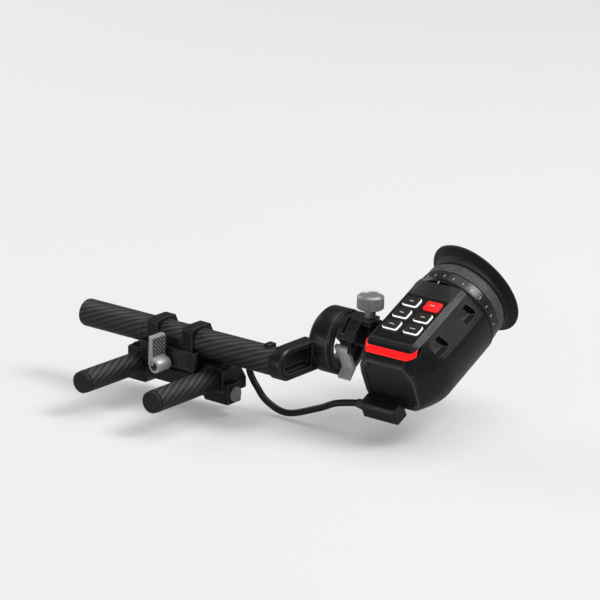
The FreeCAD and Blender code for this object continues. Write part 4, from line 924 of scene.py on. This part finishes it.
def build_ring_marks():
    """White ticks on the ring, every fourth one longer, and a fixed index on the ramp."""
    points, faces = [], []
    foot, spacing = 2.1, 13.5
    for i in range(-7, 7):
        length = 2.6 if i % 4 == 0 else 1.7
        faces += block_faces(len(points))
        points += tick_points(math.radians(90 + spacing * i), foot, foot + length)
    make_piece("ring_marks", points, faces, MATERIALS["white_print"], "diopter", slot_name="key_plastic")
    half, front, rear = 0.4, -4.9, -2.95
    points = [(x, w, n) for n in (30.25, 30.42)
              for x, w in ((half, front), (-half, front), (-half, rear), (half, rear))]
    make_piece("index_mark", points, block_faces(), MATERIALS["white_print"], "viewfinder",
               slot_name="key_plastic")


def tick_points(angle, low, high):
    """Eight points of a small block on the focus ring, long way along the ring's axis."""
    half_width = 0.24
    out = Vector((math.cos(angle), 0, math.sin(angle)))
    side = Vector((-math.sin(angle), 0, math.cos(angle)))
    corners = ((-half_width, low), (half_width, low), (half_width, high), (-half_width, high))
    return [tuple(out * reach + side * across + Vector((0, along, 0)))
            for reach in (30.05, 30.22) for across, along in corners]


def build_eyecup():
    """Soft cup, taller on the temple side: a long plain neck, a crease, then a flare with a thick lip."""
    # (share of the way from the neck's foot to the lip, radius)
    outside = [(0.0, 28.9), (0.02, 29.25), (0.10, 29.35), (0.30, 29.30), (0.46, 29.45), (0.56, 29.75),
               (0.60, 29.60), (0.63, 30.10), (0.70, 31.6), (0.75, 33.0), (0.78, 34.1), (0.80, 34.7),
               (0.83, 34.95), (0.92, 34.95), (0.97, 34.8), (1.0, 34.3)]
    inside = [(1.0, 33.6), (0.95, 32.6), (0.84, 31.0), (0.70, 29.2), (0.55, 27.9), (0.36, 26.9)]
    # (distance along, radius) where the cup grips its mount
    foot, seat = 17.75, 22.3
    socket = [(22.05, 26.4), (22.05, 25.1), (21.85, 25.1), (21.85, 27.7), (foot, 27.7)]
    seat_radius = 27.95
    count = 220
    rows = []
    for i in range(count):
        angle = 2 * math.pi * i / count
        x, n = math.cos(angle), math.sin(angle)
        lip = 30.2 - 4.9 * x - 2.1 * n + 2.4 * ease((-x - 0.35) / 0.6)
        ring = []
        for share, radius in outside + inside:
            along = mix(foot, lip, share)
            if radius < seat_radius and along > 20:
                along = max(along, seat)
            ring.append((along, radius))
        rows.append([(radius * x, along, radius * n) for along, radius in ring + socket])
    points, faces = skin(rows, close_rows=True)
    make_piece("eyecup_soft", points, faces, MATERIALS["rubber"], "eyecup_body", ["eyecup"])


# ------------------------------------------------------------------ metal controls

def build_knob():
    """Ribbed knob with bevelled edges and a dished top, on its stud."""
    low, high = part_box("lock_knob")
    place = Vector(((low.x + high.x) / 2, (low.y + high.y) / 2, low.z))
    height = (high.z - low.z) / MM
    radius = (high.x - low.x) / 2 / MM
    rib_count, rib_depth = 42, 0.46

    def ribs(angle, along, reach):
        if reach < radius - 0.15 or not 0.9 < along < height - 1.3:
            return 0.0
        return -rib_depth * (0.5 + 0.5 * math.cos(rib_count * angle))

    section = [(0.0, 2.6), (0.0, radius - 1.4), (0.35, radius - 0.8), (0.8, radius - 0.1),
               (0.95, radius - 0.1), (1.0, radius), (height - 1.35, radius), (height - 1.25, radius - 0.1),
               (height - 0.2, radius - 1.5), (height, radius - 1.8), (height, radius - 2.1),
               (height - 0.55, radius - 2.7), (height - 0.8, radius - 4.5), (height - 0.85, 0.02),
               (6.1, 0.02), (5.9, 2.6)]
    points, faces = lathe(section, 432, wave=ribs)
    make_piece("knob", points, faces, MATERIALS["silver_metal"], "knob", ["lock_knob"],
               matrix=Matrix.Translation(place) @ Matrix.Rotation(math.radians(90), 4, "X"))


def build_clamp_lever():
    """Round hub with a sunk screw, and a flat paddle with a diamond grip on its broad face."""
    low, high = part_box("clamp_lever")
    front, rear, left, top = low.y / MM, high.y / MM, low.x / MM, high.z / MM
    right = left + 4.3
    hub_z = JOINTS["lever_turn"]["pos_m"][2] / MM
    hub = [(front + 0.7, 2.85), (front, 3.0), (front, 3.6), (front + 0.5, 4.4), (front + 0.9, 4.6),
           (rear - 0.5, 4.6), (rear, 4.1), (rear, 2.05), (front + 3.0, 2.05), (front + 3.0, 2.75)]
    points, faces = lathe(hub, 96)
    points = [(x, y, z + hub_z) for x, y, z in points]
    pitch, depth, edge = 2.6, 0.34, 0.4
    band_low, band_high = mix(hub_z, top, 0.30), mix(hub_z, top, 0.94)
    steps, across = 46, 34
    rows = []
    for j in range(steps + 1):
        z = mix(hub_z + 0.5, top, j / steps)
        share = (z - hub_z) / (top - hub_z)
        back = left + 0.55 * ease(share)
        tip = max(0.0, (share - 0.93) / 0.07)
        ring = []
        for i in range(across + 1):
            y = mix(front + 0.5 * tip, rear - 0.5 * tip, i / across)
            sunk = edge if i in (0, across) else 0.0
            if band_low < z < band_high and 0.08 < i / across < 0.92:
                sunk = depth * max(triangle_wave((y + z) / pitch), triangle_wave((y - z) / pitch))
            ring.append((right - sunk - 0.7 * tip, y, z))
        ring += [(back + edge + 0.7 * tip, rear, z), (back, rear - edge, z),
                 (back, front + edge, z), (back + edge + 0.7 * tip, front, z)]
        rows.append(ring)
    more, more_faces = skin(rows)
    faces += [tuple(i + len(points) for i in face) for face in more_faces]
    make_piece("lever", points + more, faces, knurled_metal(pitch, band_low, band_high), "lever",
               ["clamp_lever"], matrix=ROW_FRAME)


def build_jaw_screws():
    """Large flat screw heads with a rounded rim, one on the outside of each jaw."""
    low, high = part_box("jaw_screws")
    centre_y, centre_z = 1.4, -30.2
    points, faces = [], []
    for side, face in ((1, high.x / MM), (-1, -low.x / MM)):
        section = [(face - 1.6, 0.02), (face - 1.6, 5.0), (face - 0.5, 5.0), (face - 0.12, 4.75),
                   (face, 4.4), (face, 4.0), (face - 0.12, 3.85), (face - 0.12, 0.02)]
        more, more_faces = lathe(section, 72)
        faces += [tuple(i + len(points) for i in f) for f in more_faces]
        points += [(side * along, centre_y + x, centre_z + z) for x, along, z in more]
    make_piece("screw_heads", points, faces, MATERIALS["grey_metal"], body_of("jaw_screws"), ["jaw_screws"],
               matrix=ROW_FRAME)


def body_of(node):
    """Name of the body that holds a node."""
    for body, nodes in frame["record"]["behaviour"]["bodies"].items():
        if node in nodes:
            return body
    raise KeyError(node)


# ------------------------------------------------------------------ cable

CABLE_RADIUS = 2.25
# Where the cable meets the plug, across the viewfinder, and where its free end is, in the row's frame.
PLUG_LEFT = -18.5
CABLE_END = Vector((41.0, 21.2, -15.5))


def build_cable():
    """A ribbed boot behind the plug, and the cable, which bends between arm and viewfinder."""
    low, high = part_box("strain_relief")
    centre = EYE_FRAME.inverted() @ ((low + high) / 2) / MM
    joint = Vector((PLUG_LEFT, centre.y, centre.z))
    section = [(-6.2, 2.3), (-6.2, 2.75)]
    for i in range(5):
        along = -5.9 + i * 1.05
        size = 2.75 + 0.16 * i
        section += [(along, size + 0.12), (along + 0.62, size + 0.2), (along + 0.7, size - 0.22),
                    (along + 0.98, size - 0.2)]
    section += [(-0.4, 3.7), (0.0, 3.7), (0.0, 2.3)]
    points, faces = lathe(section, 48)
    points = [(joint.x + along, joint.y + x, joint.z + z) for x, along, z in points]
    make_piece("cable_boot", points, faces, MATERIALS["cable_jacket"], "viewfinder", ["strain_relief"])
    start = EYE_FRAME @ (joint * MM) / MM
    away = CABLE_END.y
    path = smooth_path([
        start + Vector((1, 0, 0)), start - Vector((6, 0, 0)), Vector((113, 21.5, -26.5)),
        Vector((99, away, -33)), Vector((74, away, -42)), Vector((57, away, -38)),
        Vector((47.5, away, -29)), Vector((42.3, away, -21.5)), CABLE_END], 12)
    circle = arc((0, 0), CABLE_RADIUS, 0, 342, 19)
    rows = []
    for i, spot in enumerate(path):
        ahead = (path[min(i + 1, len(path) - 1)] - path[max(i - 1, 0)]).normalized()
        side = ahead.cross(Vector((0, 1, 0))).normalized()
        up = side.cross(ahead)
        rows.append([tuple(spot + side * x + up * y) for x, y in circle])
    points, faces = skin(rows)
    cable = make_piece("cable_run", points, faces, MATERIALS["cable_jacket"], None, ["cable"],
                       matrix=ROW_FRAME)
    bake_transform(cable)


def squared_ring(half_x, half_y, height):
    """A closed ring between an oval and a rectangle, level at the given height."""
    count = 64
    ring = []
    for i in range(count):
        angle = 2 * math.pi * i / count
        x, y = math.cos(angle), math.sin(angle)
        ring.append((math.copysign(half_x * math.sqrt(abs(x)), x),
                     math.copysign(half_y * math.sqrt(abs(y)), y), height))
    return ring


def build_tail_plug():
    """The connector on the cable's free end, which plugs into the camera."""
    # (height above the cable's end, half width, half thickness)
    body = [(-3.0, 2.3, 2.3), (-2.9, 2.7, 2.7), (-0.3, 2.8, 2.7), (0.0, 3.3, 2.8), (2.0, 4.6, 3.0),
            (3.2, 5.2, 3.1), (9.7, 5.4, 3.2), (10.2, 5.2, 3.0), (10.5, 4.8, 2.7)]
    tongue = [(10.4, 4.2, 1.15), (14.7, 4.2, 1.15), (15.0, 4.05, 1.0)]
    for name, finish, sections in (("tail_plug", "cable_jacket", body), ("tail_tongue", "steel", tongue)):
        rows = [[tuple(CABLE_END + Vector(spot)) for spot in squared_ring(wide, thick, height)]
                for height, wide, thick in sections]
        points, faces = skin(rows)
        make_piece(name, points, faces, MATERIALS[finish], "arm", slot_name=SLOTS["cable_plug"],
                   matrix=ROW_FRAME)


def smooth_path(spots, steps):
    """Catmull-Rom curve through the given points."""
    ends = [spots[0] * 2 - spots[1]] + list(spots) + [spots[-1] * 2 - spots[-2]]
    out = []
    for a, b, c, d in zip(ends, ends[1:], ends[2:], ends[3:]):
        for i in range(steps):
            t = i / steps
            out.append(0.5 * ((2 * b) + (c - a) * t + (2 * a - 5 * b + 4 * c - d) * t * t
                              + (3 * b - a - 3 * c + d) * t ** 3))
    return out + [spots[-1]]


# Rounding of the machined and moulded CAD pieces that stay visible.
BEVELS = {
    0.1: ["friction_washer"],
    0.2: ["block_covers", "front_plate", "tilt_hub"],
    0.25: ["release_lever"],
    0.3: ["tube_saddle", "arm_stop"],
    0.35: ["clamp_base", "swing_arm"],
    0.4: ["rod_jaw_left", "rod_jaw_right", "saddle_cap", "tilt_bracket", "viewfinder_foot"],
    1.1: ["rod_cap_left", "rod_cap_right", "tube_end_cap"],
    2.4: ["cable_plug"],
}


# ------------------------------------------------------------------ studio

def add_area(name, place, aim, size, power):
    """A soft box at a place, turned towards its aim."""
    lamp = bpy.data.lights.new(name, "AREA")
    lamp.shape = "RECTANGLE"
    lamp.size, lamp.size_y = size
    lamp.energy = power
    holder = add_object(name, lamp)
    holder.location = place
    holder.rotation_mode = "QUATERNION"
    holder.rotation_quaternion = (Vector(aim) - Vector(place)).to_track_quat("-Z", "Y")


def build_floor():
    """Plain pale floor, which glows a little and shows dimmer in the object's reflections."""
    reach = 12.0
    level = CAD_LOW.z - 2 * MM
    mesh = bpy.data.meshes.new("floor")
    mesh.from_pydata(
        [(-reach, -reach, level), (reach, -reach, level), (reach, reach, level), (-reach, reach, level)],
        [], [(0, 1, 2, 3)])
    floor = add_object("floor", mesh)
    g = Graph("studio_floor")
    speck = g.noise(g.place()[3], 0.004, 3.0)
    pale = g.blend(speck, colour(0.63, 0.64, 0.636), colour(0.65, 0.66, 0.655))
    dimmed = g.add("LightPath", "Is Glossy Ray") * 0.6
    g.set(Base_Color=g.blend(dimmed, pale, colour(0.0, 0.0, 0.0)), Roughness=0.9,
          Specular_IOR_Level=0.05, Emission_Color=colour(0.96, 0.98, 0.97),
          Emission_Strength=(1.0 - dimmed) * 0.27)
    floor.data.materials.append(g.material)


def build_lights():
    """Dim surroundings, three soft boxes and a broad light from above."""
    world = bpy.data.worlds.new("studio")
    bpy.context.scene.world = world
    world.use_nodes = True
    surround = world.node_tree.nodes["Background"]
    surround.inputs["Color"].default_value = colour(0.93, 0.96, 0.96)
    surround.inputs["Strength"].default_value = 0.15
    add_area("right_box", (1.80, 0.80, 2.25), (0.1, 0.0, 0.0), (1.1, 1.1), 42)
    add_area("left_box", (-2.30, 0.20, 1.20), (0.0, 0.0, 0.0), (1.2, 1.2), 14)
    add_area("low_front", (-0.35, -1.9, 0.35), (0.05, 0.0, 0.0), (1.6, 0.25), 6)
    sun = bpy.data.lights.new("overhead", "SUN")
    sun.energy = 1.15
    sun.angle = math.radians(60)
    holder = add_object("overhead", sun)
    holder.rotation_euler = (math.radians(-12), math.radians(8), 0)


def build_camera():
    """Long lens, seen from the front right and a little above, with a slight roll."""
    azimuth, elevation, roll = math.radians(37.6), math.radians(16.98), math.radians(1.07)
    place = (1.016, -1.191, 0.504)
    back = Vector((math.sin(azimuth) * math.cos(elevation), -math.cos(azimuth) * math.cos(elevation),
                   math.sin(elevation)))
    level = Vector((math.cos(azimuth), math.sin(azimuth), 0))
    rise = back.cross(level)
    right = math.cos(roll) * level + math.sin(roll) * rise
    up = math.cos(roll) * rise - math.sin(roll) * level
    lens = bpy.data.cameras.new("camera")
    lens.lens = 149.5
    lens.sensor_width = 36.0
    lens.clip_start, lens.clip_end = 0.05, 60
    holder = add_object("camera", lens)
    axes = Matrix((right, up, back)).transposed().to_4x4()
    holder.matrix_world = Matrix.Translation(place) @ axes
    bpy.context.scene.camera = holder


# ------------------------------------------------------------------ the whole object

for build in (build_body_shell, build_front_cover, build_top_cover, build_panel, build_ramp, build_tally,
              build_keys, build_catches, build_eyepiece, build_ring_marks, build_eyecup, build_knob,
              build_clamp_lever, build_jaw_screws, build_cable, build_tail_plug):
    build()
dress(NODES["knob_stud"], MATERIALS["silver_metal"])
dress(NODES["release_lever"], MATERIALS["bright_metal"])
for width, nodes in BEVELS.items():
    for node_name in nodes:
        refine(NODES[node_name], width)
build_floor()
build_lights()
build_camera()
bpy.context.scene.view_settings.view_transform = "Standard"
